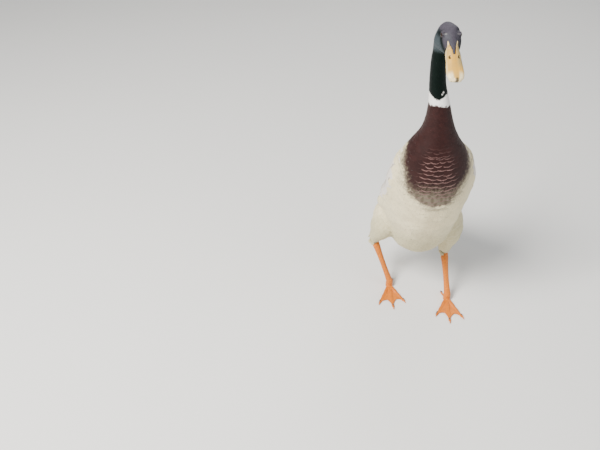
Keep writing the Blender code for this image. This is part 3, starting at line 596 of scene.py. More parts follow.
def markings(points, chance, speck=0.0):
    """The plumage's colour, the colour of its fringes, and how strong fringe, streak and fine bars are."""
    at, angle = LINE.locate(points)
    turned = np.degrees(angle)
    height = points[:, 2]
    front = 180 - abs(turned)
    wander = (chance - 0.5) * 2
    thigh = thigh_share(points)

    colour = paint("cream") * (1 + 0.07 * wander[:, None])
    # The lower front of the body darkens to olive: partly a stain, partly painted shade under the body.
    colour = mixed(colour, paint("belly"), falling(height, *BELLY) * (front < BELLY_HALF) * 0.8)
    back = smooth_step(front + wander * 8, *BACK_TURN) * falling(height, *BODY_BELOW) * (1 - thigh)
    colour = mixed(colour, paint("back"), back)
    fringe = mixed(paint("cream_edge"), paint("back_edge"), back)
    strength = toward(0.35, 0.85, back)
    bars = back * 0.6
    start, end = (LINE.length - gap for gap in RUMP_BEFORE_END)
    rump = smooth_step(at + wander * 0.006, start, end) * smooth_step(front, *RUMP_TURN) * (1 - thigh)
    colour = mixed(colour, paint("rump"), rump)
    fringe = mixed(fringe, paint("rump") * 2.2, rump)

    half = curve(BIB_HEIGHTS, BIB_HALVES, height) * (1 - BIB_NARROWER * (angle > 0) * falling(height, *BIB_NARROWS))
    inside = half - front
    bib = smooth_step(inside + wander * 4 + speck * 2.5, -4, 6) * (height > BIB_HEIGHTS[0]) * (1 - thigh)
    lower = falling(height + wander * 0.005 + speck * 0.005, *MOTTLED)
    sides = falling(inside + wander * 3 + speck * 3, 3, 17) * falling(height, *MOTTLED_SIDES)
    margin = np.maximum(lower, sides)
    claret = mixed(paint("claret") * (1 + 0.16 * wander[:, None]), paint("bib_margin"), margin * 0.92)
    colour = mixed(colour, claret, bib)
    silver = falling(height, *SILVER) * falling(front, 26, 44)
    bib_fringe = mixed(paint("claret") * 1.25, paint("claret_edge"), np.maximum(silver, margin * 0.8))
    fringe = mixed(fringe, bib_fringe, bib)
    strength = toward(strength, 0.15 + 0.75 * np.maximum(silver, margin * 0.5), bib)
    streak = bib * margin * 0.6
    strays = smooth_step(inside + wander * 14 + speck * 5, -16, -2) * (1 - bib)
    strays = strays * (height > STRAYS[0]) * (height < STRAYS[1]) * (chance > 0.4)
    colour = mixed(colour, paint("bib_margin"), strays * 0.55)
    bars = np.maximum(bars, margin * 0.8 * (inside > -8))

    aside = (turned - RING_DIP_AT + 180) % 360 - 180
    dip = np.exp(-((aside / RING_DIP_WIDE) ** 2))
    low = RING_LOW + RING_DIP_LOW * dip + wander * 0.0010
    top = RING_TOP - RING_DIP_TOP * dip + wander * 0.0008
    ring, dark = (smooth_step(height + speck * 0.0002, edge - RING_SOFT, edge + RING_SOFT) for edge in (low, top))
    colour = mixed(colour, paint("ring"), ring)
    fringe = mixed(fringe, paint("ring"), ring)
    strength = strength * (1 - ring)
    off = [np.hypot((turned - turn) / wide, (height - middle) / high) for turn, wide, middle, high in SPOTS]
    dark = dark * (1 - 0.9 * falling(np.minimum(*off), 0.8, 1.2))
    plume = head_tints(points, wander)
    colour = mixed(colour, plume, dark)
    fringe = mixed(fringe, plume * 1.5, dark)
    strength = toward(strength, 0.5, dark)
    streak = streak * (1 - dark)
    bars = bars * (1 - np.maximum(ring, dark)) * (1 - bib)
    return colour, fringe, np.stack([strength, streak, bars], axis=1)


# The line between crown and cheek: how it drops ahead of the eye and rises behind it, in the head's axes
BROW_LINE = (-0.68, 0.12)
CHEEK_ABOVE = (0.5345, 0.5420)
# Painted shade in the crease between crown and cheek: how far below that line it lies, and half its width
CREASE_SHADE_BELOW, CREASE_SHADE_HALF = 0.0012, 0.0034
BROW_AHEAD, BROW_UP = 0.0044, 0.0042


def head_tints(points, wander):
    """Black neck, grey cheek, purplish crown partly painted as sky reflection, painted shade in the crease through the
    eye, and a pale spot before the eye.
    """
    side, ahead, rise = within(HEAD_AXES, points)
    out = abs(side)
    over = rise - (EYE_SPOT[1] + np.where(ahead > EYE_SPOT[0], *BROW_LINE) * (ahead - EYE_SPOT[0]))
    crown = smooth_step(over + wander * 0.0006, -0.0008, 0.0014)
    cheek = smooth_step(points[:, 2] + wander * 0.0012, *CHEEK_ABOVE)
    plume = mixed(paint("neck_black"), paint("cheek"), cheek)
    # The crown's purplish grey is partly the gloss colour of its feathers and partly painted reflection of the sky on
    # the top of the head.
    plume = mixed(plume, paint("crown"), crown * cheek)
    # Painted shade: a dark band in the crease between crown and cheek, from behind the eye to the bill.
    crease_shade = np.exp(-(((over + CREASE_SHADE_BELOW) / CREASE_SHADE_HALF) ** 2)) * smooth_step(out, 0.004, 0.0075)
    crease_shade = crease_shade * smooth_step(ahead, -0.022, -0.006) * cheek
    plume = mixed(plume, paint("neck_black"), crease_shade * 0.93)
    brow = np.sqrt((ahead - EYE_SPOT[0] - BROW_AHEAD) ** 2 + (rise - EYE_SPOT[1] - BROW_UP) ** 2)
    brow = falling(brow, 0.0008, 0.0018) * smooth_step(out, 0.006, 0.008)
    plume = mixed(plume, paint("brow"), brow * 0.7)
    return plume * (1 + 0.12 * wander[:, None])


# A vane lets go of the surface where that is further off than this, or turns this sharply
LET_GO, SHARPEST_TURN = 0.006, 0.5
EDGE_FREE = 0.004


def centre_lines(surface, roots, ways, lengths, alongs, hang=None):
    """The middle of each feather, laid down step by step over the surface, and the normals there.

    Feathers that hang run on freely past the surface's end.
    """
    spots, normals = surface.settle(roots)
    ways = flatten(ways, normals)
    centres, ups = [spots], [normals]
    for before, along in zip(alongs[:-1], alongs[1:]):
        spots = spots + ways * (lengths * (along - before))[:, None]
        settled, normals = surface.settle(spots)
        far = apart(settled, spots) > LET_GO
        far |= (flatten(ways, normals) * ways).sum(axis=1) < SHARPEST_TURN
        if hang is not None:
            far |= hang
        spots = np.where(far[:, None], spots, settled)
        normals = np.where(far[:, None], ups[-1], normals)
        ways = flatten(ways, normals)
        centres.append(spots)
        ups.append(normals)
    return np.stack(centres, axis=1), np.stack(ups, axis=1)


def spread_vanes(surface, centres, ups, halves, widths, lifts, ridge, columns=3):
    """Vanes of those half widths spread to both sides of their middles, a little raised there."""
    ways = flatten(unit(np.gradient(centres, axis=1)), ups)
    across = np.cross(ways, ups)
    rows = []
    for edge in np.linspace(-1, 1, columns):
        spots = centres + across * (edge * halves[:, None] * widths[None])[..., None]
        normals = ups
        if edge:
            settled, found = surface.settle(spots)
            far = apart(settled, spots)[..., None] > EDGE_FREE
            spots = np.where(far, spots, settled)
            normals = np.where(far, ups, found)
        rows.append(spots + normals * (lifts + ridge * (1 - edge * edge) * widths[None])[..., None])
    return np.stack(rows, axis=2)


# How the skin lies unwrapped: its margins and the share it fills; and how large a feather's own place on it is
UNWRAP_MARGIN_AROUND, UNWRAP_MARGIN_ALONG, UNWRAP_SHARE = 0.01, 0.012, 0.97
PATCH = 0.003


def patches(at, angles):
    """The place of each root on the unwrapped skin: round the body, and along it from bill to tail."""
    around = (angles / (2 * math.pi) + 0.5) * UNWRAP_SHARE + UNWRAP_MARGIN_AROUND
    along = UNWRAP_MARGIN_ALONG + at / LINE.length * UNWRAP_SHARE
    return np.stack([around, along], axis=1)


def set_values(mesh, label, kind, key, values):
    """Writes a value for each point into the mesh."""
    mesh.attributes.new(label, kind, "POINT").data.foreach_set(key, values.astype(np.float32).ravel())


def set_colours(mesh, label, values):
    """Writes a colour for each point into the mesh."""
    set_values(mesh, label, "FLOAT_COLOR", "color", np.append(values, np.ones((len(values), 1)), axis=1))


def set_unwrap(mesh, places):
    """Writes the unwrap, a place for each corner."""
    mesh.uv_layers.new(name="OFBake").data.foreach_set("uv", places.astype(np.float32).ravel())


def riding(made, material):
    """Gives a piece its finish and its slot, and lets it ride on the body."""
    made.data.materials.append(bpy.data.materials[material])
    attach(made, "root")
    return made


def vane_faces(rows, columns):
    """The faces of one closed vane: its upper face, its lower face between the edges, and both ends."""
    faces = []
    for r in range(rows - 1):
        for c in range(columns - 1):
            a = r * columns + c
            faces.append((a, a + 1, a + columns + 1, a + columns))
        right, left = r * columns + columns - 1, r * columns
        faces.append((right, left, left + columns, right + columns))
    return faces + [tuple(reversed(range(columns))), tuple((rows - 1) * columns + c for c in range(columns))]


def vane_mesh(name, grid, alongs, tints, roots, material, patch=PATCH):
    """One joined mesh of closed vanes. The grid holds each vane's upper face, row by row from its root."""
    colour, fringe, marks, chance = tints
    count, rows, columns, _ = grid.shape
    per = rows * columns
    faces = vane_faces(rows, columns)
    loops = (np.concatenate(faces)[None] + np.arange(count)[:, None] * per).ravel()
    sizes = np.tile([len(face) for face in faces], count)
    starts = np.concatenate([[0], np.cumsum(sizes)[:-1]])

    mesh = bpy.data.meshes.new(name)
    mesh.vertices.add(count * per)
    mesh.vertices.foreach_set("co", grid.reshape(-1).astype(np.float32))
    mesh.loops.add(len(loops))
    mesh.loops.foreach_set("vertex_index", loops.astype(np.int32))
    mesh.polygons.add(len(starts))
    mesh.polygons.foreach_set("loop_start", starts.astype(np.int32))
    mesh.update(calc_edges=True)

    edges = np.empty(len(mesh.edges) * 2, np.int32)
    mesh.edges.foreach_get("vertices", edges)
    first, second = (edges.reshape(-1, 2) % per).T
    column_a, column_b, row_a, row_b = first % columns, second % columns, first // columns, second // columns
    sharp = (column_a == column_b) & ((column_a == 0) | (column_a == columns - 1))
    sharp |= (row_a == row_b) & ((row_a == 0) | (row_a == rows - 1))
    mesh.attributes.new("sharp_edge", "BOOLEAN", "EDGE").data.foreach_set("value", sharp)

    def each(given):
        """A row for each point, from a row for each point or for each vane."""
        return given if len(given) == count * per else np.repeat(given, per, axis=0)

    across = np.linspace(-1, 1, columns)[None]
    alongs = np.asarray(alongs)[:, None]
    vane = np.stack(np.broadcast_arrays(across[None], alongs[None], chance[:, None, None]), axis=-1)
    set_values(mesh, "vane", "FLOAT_VECTOR", "vector", vane)
    set_values(mesh, "marks", "FLOAT_VECTOR", "vector", each(marks))
    set_colours(mesh, "plume", each(colour))
    set_colours(mesh, "fringe", each(fringe))
    places = np.stack(np.broadcast_arrays(across * patch / 2, alongs * patch), axis=-1)
    set_unwrap(mesh, (roots[:, None, None, :] + places).reshape(-1, 2)[loops])
    return riding(placed(name, mesh), material)


def ring_roots(start, end, along_step, across_step, keep):
    """Roots in rows round the neck and trunk, each row set off by half a feather."""
    roots, ways, all_at, all_angles = [], [], [], []
    at, row = start, 0
    while at < end:
        centre, _ = LINE.rays(at, 0.0)
        spot = LINE.index(at)
        sample = np.linspace(-math.pi, math.pi, 24, endpoint=False)
        centres, rays = LINE.rays(np.full(24, at), sample)
        probe, _ = Bird.skin.cast(centres, rays)
        girth = 2 * math.pi * np.nanmean(np.linalg.norm(probe - centres, axis=1))
        count = max(8, int(round(girth / across_step(at))))
        angles = -math.pi + (np.arange(count) + 0.5 * (row % 2)) * 2 * math.pi / count
        angles = angles + Bird.dice.normal(0, 0.05, count) * 2 * math.pi / count
        places = at + Bird.dice.normal(0, 0.045, count) * along_step(at)
        centres, rays = LINE.rays(places, angles)
        spots, _ = Bird.skin.cast(centres, rays)
        good = ~np.isnan(spots[:, 0]) & keep(places, angles)
        roots.append(spots[good])
        ways.append(np.tile(LINE.ways[spot], (good.sum(), 1)))
        all_at.append(places[good])
        all_angles.append(angles[good])
        at += along_step(at)
        row += 1
    return tuple(np.concatenate(part) for part in (roots, ways, all_at, all_angles))


def scattered_roots(points, order, spacing):
    """Roots spread evenly over a patch of skin, kept in order along the lie."""
    kept, cells = [], {}
    cell = float(spacing.max())
    for k in np.argsort(order):
        place = points[k]
        key = tuple(int(v) for v in np.floor(place / cell))
        gap = spacing[k] ** 2
        crowded = False
        for dx in (-1, 0, 1):
            for dy in (-1, 0, 1):
                for dz in (-1, 0, 1):
                    for j in cells.get((key[0] + dx, key[1] + dy, key[2] + dz), ()):
                        other = points[j] - place
                        if other @ other < gap:
                            crowded = True
        if not crowded:
            kept.append(k)
            cells.setdefault(key, []).append(k)
    return np.array(kept)


def skin_samples(chosen, per_face):
    """Places on the chosen faces of the skin, several to a face."""
    skin = Bird.skin
    corners = np.array([face for face in np.array(skin.faces, dtype=object)[chosen]], int)
    quads = skin.points[corners]
    u = Bird.dice.random((len(quads), per_face, 1))
    v = Bird.dice.random((len(quads), per_face, 1))
    top = quads[:, None, 0] * (1 - u) + quads[:, None, 1] * u
    low = quads[:, None, 3] * (1 - u) + quads[:, None, 2] * u
    return (top * (1 - v) + low * v).reshape(-1, 3)


# The folded wing on the trunk: share of the way to its tip, angle of its upper and of its lower edge from the back
WING_EDGES = ((0.0, 62, 82), (0.08, 54, 103), (0.30, 40, 112), (0.55, 31, 104), (0.78, 21, 80), (1.0, 12, 46))
WING_SHARES = (0.98, 0.03)
SHOULDER_HEIGHT = 0.380
WING_PATCH = 0.010
# Tiers: name, count; roots and tips, each as share and across of the lowest and of the uppermost; half widths,
# lifts at root and tip, outline
FLIGHT = (
    ("primary", 7, (0.55, 0.74, 0.60, 0.34), (0.88, 0.90, 1.02, 0.50), (0.0070, 0.0062), (0.0004, 0.0014), QUILL),
    ("secondary", 11, (0.34, 0.88, 0.46, 0.42), (0.63, 0.86, 0.86, 0.56), (0.0088, 0.0086), (0.0006, 0.0018), QUILL),
    ("tertial", 5, (0.42, 0.42, 0.34, 0.14), (0.90, 0.48, 0.78, 0.18), (0.0112, 0.0108), (0.0014, 0.0028), QUILL),
)
# The shoulder feathers start that many degrees from the middle of the back and end that many over the wing's edge
SHOULDER_START = 3
SHOULDER_OVER = 12
# How high the flight feathers stack, how coverts vary in height and place, and the ridge along each shaft
FLIGHT_STACK, COVERT_STACK, COVERT_STRAY, WING_RIDGE = 0.0008, 0.00015, 0.006, 0.0003
LESSER_ROWS = 8
SCAPULAR_ROWS = 8
# Coverts turn pale over those heights and angles, and some are streaked between two heights
PALE_ABOVE, PALE_TURN, STREAKED = (0.290, 0.330), (70, 92), (0.30, 0.36)


def covert_tiers():
    """The rows of coverts, from the greater ones up to the small ones at the shoulder."""
    rows = [
        ("greater", 12, (0.29, 0.95, 0.38, 0.30), (0.50, 0.98, 0.66, 0.34), (0.0078, 0.0084), (0.0014, 0.0026), SOFT),
        ("median", 12, (0.23, 0.95, 0.31, 0.28), (0.40, 0.98, 0.53, 0.32), (0.0074, 0.0080), (0.0015, 0.0027), SOFT),
        ("median", 12, (0.17, 0.95, 0.25, 0.26), (0.32, 0.98, 0.42, 0.30), (0.0070, 0.0076), (0.0016, 0.0028), SOFT),
    ]
    for k in reversed(range(LESSER_ROWS)):
        tip = 0.035 + 0.030 * k
        root = tip - 0.080 - 0.004 * k
        half = 0.0048 + 0.00025 * k
        shift = 0.035 * (k % 2)
        roots = (root, 0.92 + shift, root * 1.1 + 0.01, 0.16 + shift)
        tips = (tip, 0.95 + shift, tip * 1.25 + 0.01, 0.22 + shift)
        rows.append(("lesser", 12, roots, tips, (half, half * 1.12), (0.0016, 0.0029), SCALLOP))
    return rows


def scapular_tiers():
    """The rows of long shoulder feathers between the wing and the middle of the back."""
    rows = []
    for k in reversed(range(SCAPULAR_ROWS)):
        tip = 0.12 + 0.066 * k
        root = tip - 0.14 - 0.012 * k
        half = 0.0060 + 0.00055 * k
        shift = 0.06 * (k % 2)
        roots = (root, 0.92 + shift, root + 0.01, 0.04 + shift)
        tips = (tip, 1.0 + shift, tip + 0.02, 0.08 + shift)
        rows.append(("scapular", 8, roots, tips, (half, half * 0.9), (0.0019, 0.0033), POINTED))
    return rows


WING_END = place_behind(0.0828)
WING_REACH = WING_END - place_at_height(SHOULDER_HEIGHT)


def wing_edges(share):
    """The angles of the wing's upper and lower edge, that share of the way to its tip."""
    knots, tops, lows = outline(WING_EDGES)
    inside = np.clip(share, 0, 1)
    return curve(knots, tops, inside), curve(knots, lows, inside)


def wing_place(side, share, across):
    """The place along the line and the angle round it of a spot on the folded wing."""
    top, low = wing_edges(share)
    at = WING_END - WING_REACH * toward(WING_SHARES[0], WING_SHARES[1], share)
    return at, side * np.radians(top + (low - top) * across)


def shoulder_place(side, share, across):
    """The same for the feathers between the middle of the back (0) and the wing's upper edge (1)."""
    at, _ = wing_place(side, share, 0.0)
    top, _ = wing_edges(share)
    return at, side * np.radians(SHOULDER_START + (top + SHOULDER_OVER - SHOULDER_START) * across)


def wing_tier(side, count, roots, tips, alongs, place=wing_place, stray=0.0):
    """The middles of a tier's feathers on the skin, the normals there, and the roots' places on the line."""
    u = np.linspace(0, 1, count)[:, None]
    root, tip = (np.array(ends[:2]) * (1 - u) + np.array(ends[2:]) * u for ends in (roots, tips))
    tip = tip + Bird.dice.normal(0, COVERT_STRAY, tip.shape)
    slide = Bird.dice.normal(0, 1, (count, 1)) * np.array([stray, 0.0])
    way = alongs[None, :, None]
    path = (root + slide)[:, None] * (1 - way) + (tip + slide)[:, None] * way
    at, angle = place(side, path[..., 0], path[..., 1])
    centres, rays = LINE.rays(at.ravel(), angle.ravel())
    spots, normals = Bird.skin.cast(centres, rays)
    shape = (count, len(alongs), 3)
    return spots.reshape(shape), normals.reshape(shape), (at[:, 0], angle[:, 0])


def inside_wing(at, angles):
    """Where the folded wing hides the trunk."""
    share = (WING_SHARES[0] - (WING_END - at) / WING_REACH) / (WING_SHARES[0] - WING_SHARES[1])
    top, bottom = wing_edges(share)
    turned = np.degrees(abs(angles))
    across = (turned - top) / (bottom - top)
    on_wing = (share > 0.06) & (share < 0.80) & (across > 0.15) & (across < 0.82)
    return on_wing | ((share > 0.08) & (share < 0.50) & (turned > SHOULDER_START + 9) & (across < 0.5))


def varied(name, chance, least, span):
    """A colour in rows, each made that much lighter or darker by chance."""
    return paint(name) * (least + span * chance[:, None])


def wing_tints(label, count, tips):
    """Colours of one tier of the wing."""
    chance = Bird.dice.random(count)
    colour = varied("wing", chance, 0.92, 0.16)
    fringe = np.tile(paint("wing_edge"), (count, 1))
    marks = np.tile([0.8, 0.35, 0.0], (count, 1))
    if label == "secondary":
        colour = varied("speculum", chance, 0.9, 0.2)
        fringe[:] = paint("ring")
        marks[:] = (1.0, 0.2, 0.0)
    elif label == "primary":
        colour = varied("primary", chance, 0.92, 0.16)
    elif label == "scapular":
        colour = varied("back", chance, 0.9, 0.2)
        fringe[:] = paint("back_edge")
        marks[:] = (0.75, 0.3, 0.5)
    else:
        _, angle = LINE.locate(tips)
        pale = np.maximum(smooth_step(tips[:, 2], *PALE_ABOVE), smooth_step(np.degrees(abs(angle)), *PALE_TURN))
        colour = mixed(colour, paint("shoulder"), pale)
        fringe = mixed(fringe, paint("cream_edge"), pale)
        streaked = (chance > 0.72) & (tips[:, 2] > STREAKED[0]) & (tips[:, 2] < STREAKED[1])
        marks[:, 1] = np.where(streaked, 1.0, 0.35 * (1 - pale) + 0.06)
        marks[:, 0] = 0.8 - 0.35 * pale
    return colour, fringe, marks, chance


# The tail's fan: how far it reaches, how far it drops, and how much wider it spreads
TAIL_REACH = 0.0962
TAIL_DROP = math.radians(2)
TAIL_WIDER = 1.15
# How far one tail feather lies over the next, and how far the outer ones roll
TAIL_STACK, TAIL_ROLL = 0.00045, 0.22
# Tiers: name, count, half spread, start, reach, rise at the root and tip, half width, shorter outside, camber
TAIL_TIERS = (
    ("rectrix", 16, 19, 0.20, 1.0, (0.0010, 0.0010), 0.0078, 0.16, 0.0010),
    ("under_long", 9, 15, 0.12, 0.78, (-0.0100, -0.0052), 0.0085, 0.10, -0.0016),
    ("under_short", 8, 16, 0.04, 0.50, (-0.0150, -0.0100), 0.0085, 0.10, -0.0018),
    ("upper_long", 9, 13, 0.14, 0.66, (0.0085, 0.0066), 0.0085, 0.12, 0.0016),
    ("upper_short", 8, 14, 0.06, 0.44, (0.0120, 0.0098), 0.0085, 0.14, 0.0018),
)
# The drake's curls: how far to the side and the ring's radius of each; then their start, run and turn
CURLS = ((-0.007, 0.0125), (-0.002, 0.0105), (0.004, 0.0110), (0.010, 0.0135))
CURL_PLACE = (0.16, 0.0085)
CURL_LIFT = 0.0009
CURL_RUN = 0.030
CURL_RUN_SHARE = 0.25
CURL_TURN = math.radians(300)
CURL_TIGHTER = 0.32
CURL_HALF_WIDTH = 0.0052
CURL_CAMBER = 0.0007
CURL_RISE = 0.002


def tail_line(spread, way, rise):
    """Points along tail feathers: out from the root, fanned to the side and dropping behind."""
    back = np.cos(spread) * TAIL_REACH * way
    return np.stack(
        [
            TAIL_ROOT_PLACE.x + np.sin(spread) * TAIL_REACH * way * TAIL_WIDER,
            TAIL_ROOT_PLACE.y + back * math.cos(TAIL_DROP),
            TAIL_ROOT_PLACE.z + rise - back * math.sin(TAIL_DROP),
        ],
        axis=-1,
    )


def free_vanes(centres, ups, halves, widths, camber, columns=5):
    """Vanes spread to both sides of their middles in the air, curved down or up at their edges."""
    ways = unit(np.gradient(centres, axis=1))
    across = unit(np.cross(ways, ups))
    rows = []
    for edge in np.linspace(-1, 1, columns):
        spots = centres + across * (edge * halves[:, None] * widths[None])[..., None]
        rows.append(spots - ups * (camber * edge * edge * widths[None])[..., None])
    return np.stack(rows, axis=2)


def tail_tier(count, half_spread, start, reach, rises, half, shorter, camber, alongs, widths):
    """One tier of the tail as a grid of vanes; the middle feathers lie on top."""
    share = np.linspace(-1, 1, count)
    spread = np.radians(half_spread) * share + Bird.dice.normal(0, 0.006, count)
    ends = reach * (1 - shorter * share**2) * (1 + Bird.dice.normal(0, 0.008, count))
    way = toward(start, ends[:, None], alongs[None])
    order = np.argsort(np.argsort(abs(share + 0.02)))
    stack = (count / 2 - order)[:, None] * (TAIL_STACK * math.copysign(1, camber))
    rise = toward(*rises, alongs[None]) + stack
    centres = tail_line(spread[:, None], way, rise)
    roll = share * TAIL_ROLL
    up = np.stack([np.sin(roll), np.full(count, math.sin(TAIL_DROP)), np.cos(roll)], axis=1)
    ups = np.broadcast_to(unit(up)[:, None], centres.shape)
    return free_vanes(centres, ups, np.full(count, half), widths, camber), spread


def curl_grid(sideways, start, radius, steps=30, columns=5):
    """One curled feather: out over the tail, then up and forward in a ring."""
    way = np.linspace(0, 1, steps)
    turned = np.clip((way - CURL_RUN_SHARE) / (1 - CURL_RUN_SHARE), 0, 1)
    lean = CURL_TURN * turned
    shrink = radius * (1 - CURL_TIGHTER * np.clip(way - CURL_RUN_SHARE, 0, 1))
    out = np.where(way < CURL_RUN_SHARE, CURL_RUN * way / CURL_RUN_SHARE, CURL_RUN + shrink * np.sin(lean))
    high = np.where(way < CURL_RUN_SHARE, 0.0, shrink * (1 - np.cos(lean)))
    half = CURL_HALF_WIDTH * (0.45 + 0.55 * np.sin(math.pi * np.clip(way * 1.3, 0, 1))) * (1 - 0.75 * way**4)
    centres = start + np.stack([sideways * (0.2 + 0.8 * way), out * 0.995, high + out * 0.1], axis=1)
    ups = np.stack([0 * lean, -np.sin(lean), np.cos(lean)], axis=1)
    rows = []
    for edge in np.linspace(-1, 1, columns):
        rows.append(centres + np.array([1.0, 0, 0]) * (edge * half)[:, None] - ups * (CURL_CAMBER * edge * edge))
    return np.stack(rows, axis=1)[None], way


def grown(name, points, faces, material):
    """A smooth object that rides on the body, from points and faces."""
    made = mesh_object(name, points, faces)
    made.data.shade_smooth()
    return riding(made, material)


def unwrap(made, around, along):
    """The unwrap of a piece, from how far round and how far along each point lies. Faces over the join run on."""
    mesh = made.data
    corner = np.empty(len(mesh.loops), np.int32)
    mesh.loops.foreach_get("vertex_index", corner)
    u, v = around[corner], along[corner]
    starts = np.empty(len(mesh.polygons), np.int32)
    mesh.polygons.foreach_get("loop_start", starts)
    totals = np.diff(np.append(starts, len(corner)))
    face = np.repeat(np.arange(len(starts)), totals)
    high = np.full(len(starts), -1.0)
    np.maximum.at(high, face, u)
    low = np.full(len(starts), 9.0)
    np.minimum.at(low, face, u)
    crosses = (high - low > 0.5)[face] & (u < 0.5)
    u = np.where(crosses, u + 1, u) / 1.06
    set_unwrap(mesh, np.stack([u, v], axis=1))


def eye_frame(side):
    """The middle of an eye, the way it looks, and the ways ahead and up across it."""
    lo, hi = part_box("eye_left" if side > 0 else "eye_right")
    turn = HEAD_AXES.to_3x3()
    axis = (turn @ Vector((-side * EYE_LOOK[0], *EYE_LOOK[1:]))).normalized()
    ahead = turn @ Vector((0, 1, 0))
    ahead = (ahead - axis * ahead.dot(axis)).normalized()
    up = axis.cross(ahead).normalized()
    return (lo + hi) / 2, axis, ahead, up if up.z > 0 else -up


def lid_opening(ahead, up):
    """How far round the ball the almond between the lids reaches, in that direction across the eye."""
    high = np.where(np.asarray(up) > 0, LID_UPPER, LID_LOWER)
    return 1 / np.sqrt((ahead / LID_WIDE) ** 2 + (up / high) ** 2)


def eyeball(side):
    """Rings of an eyeball from the middle of its pupil back, with a slight bulge over the iris."""
    middle, axis, _, _ = eye_frame(side)
    first = axis.orthogonal().normalized()
    second = axis.cross(first)
    rings, around = EYE_RINGS, EYE_AROUND
    points, faces, gaze = [middle + axis * EYE_RADIUS * (1 + EYE_BULGE)], [], [0.0]
    for r in range(1, rings):
        tilt = math.pi * r / rings
        swell = 1 + EYE_BULGE * max(0.0, 1 - (tilt / IRIS_TILT) ** 2)
        for k in range(around):
            turn = 2 * math.pi * k / around
            way = axis * math.cos(tilt) + (first * math.cos(turn) + second * math.sin(turn)) * math.sin(tilt)
            points.append(middle + way * EYE_RADIUS * swell)
            gaze.append(tilt / math.pi)
    points.append(middle - axis * EYE_RADIUS)
    gaze.append(1.0)
    for k in range(around):
        j = (k + 1) % around
        faces.append((0, 1 + k, 1 + j))
        for r in range(rings - 2):
            a = 1 + r * around
            faces.append((a + k, a + around + k, a + around + j, a + j))
        last = 1 + (rings - 2) * around
        faces.append((last + k, len(points) - 1, last + j))
    return points, faces, np.array(gaze)


def lid_band(side):
    """Both lids as one thin band over the eyeball, with an almond opening and a rounded rim."""
    middle, axis, ahead, up = eye_frame(side)
    around, wide = LID_AROUND, len(LID_PROFILE)
    points, faces, rim = [], [], []
    for k in range(around):
        angle = 2 * math.pi * k / around
        c, s = math.cos(angle), math.sin(angle)
        opening = float(lid_opening(c, s))
        for share, rise in LID_PROFILE:
            tilt = toward(opening, LID_OUTER, share)
            way = axis * math.cos(tilt) + (ahead * c + up * s) * math.sin(tilt)
            points.append(middle + way * (EYE_RADIUS + rise))
            rim.append(share < LID_RIM_SHARE)
        a, b = k * wide, (k + 1) % around * wide
        for p in range(wide):
            j = (p + 1) % wide
            faces.append((a + p, b + p, b + j, a + j))
    return points, faces, np.array(rim)


def step(tree, kind, values=None, **settings):
    """Adds a node. Its inputs take a plain value or another node's output."""
    made = tree.nodes.new(kind)
    for key, value in settings.items():
        setattr(made, key, value)
    for key, value in (values or {}).items():
        feed(tree, made.inputs[key], value)
    return made


def feed(tree, socket, value):
    """Gives a socket another node's output or a plain value."""
    if isinstance(value, bpy.types.NodeSocket):
        tree.links.new(value, socket)
    else:
        socket.default_value = value


def maths(tree, operation, *values):
    """A sum on numbers."""
    return step(tree, "ShaderNodeMath", dict(enumerate(values)), operation=operation).outputs[0]


def times(tree, first, second):
    """One value times another."""
    return maths(tree, "MULTIPLY", first, second)


def plus(tree, first, second):
    """Two values added."""
    return maths(tree, "ADD", first, second)


def ramp(tree, value, low, high, to_low=0.0, to_high=1.0):
    """Turns softly from one value to the other between low and high."""
    values = {"Value": value, "From Min": low, "From Max": high, "To Min": to_low, "To Max": to_high}
    return step(tree, "ShaderNodeMapRange", values, interpolation_type="SMOOTHSTEP").outputs[0]


def blend(tree, share, first, second, kind="MIX"):
    """A mix of two colours, each a plain colour or another node's output."""
    made = step(tree, "ShaderNodeMix", data_type="RGBA", blend_type=kind)
    feed(tree, made.inputs[0], share)
    for key, colour in ((6, first), (7, second)):
        feed(tree, made.inputs[key], colour if isinstance(colour, bpy.types.NodeSocket) else (*colour[:3], 1))
    return made.outputs[2]


def noise(tree, place, size, detail):
    """Soft noise at that place."""
    return step(tree, "ShaderNodeTexNoise", {"Vector": place, "Scale": size, "Detail": detail}).outputs[0]


def object_place(tree):
    """The place in the object's own axes."""
    return step(tree, "ShaderNodeTexCoord").outputs["Object"]


def new_group(name, inputs, outputs):
    """An empty shader group with those sockets, and its input and output nodes."""
    group = bpy.data.node_groups.new(name, "ShaderNodeTree")
    for label, kind, default in inputs:
        socket = group.interface.new_socket(name=label, in_out="INPUT", socket_type=kind)
        if default is not None:
            socket.default_value = default
    for label, kind in outputs:
        group.interface.new_socket(name=label, in_out="OUTPUT", socket_type=kind)
    return group, group.nodes.new("NodeGroupInput"), group.nodes.new("NodeGroupOutput")


# The vane's finish: how far its barbs wander, how many fine bars, where its fringe starts; and tints laid over it
BARB_RELIEF, SKIN_RELIEF = 0.0004, 0.0003
BARB_DRIFT, BAR_COUNT, FRINGE_FROM = 0.12, 46.0, (0.86, 0.95)
STREAK_TINT, BAR_TINT, SHAFT_TINT = (0.30, 0.22, 0.17), (0.35, 0.30, 0.26), (0.40, 0.32, 0.25)


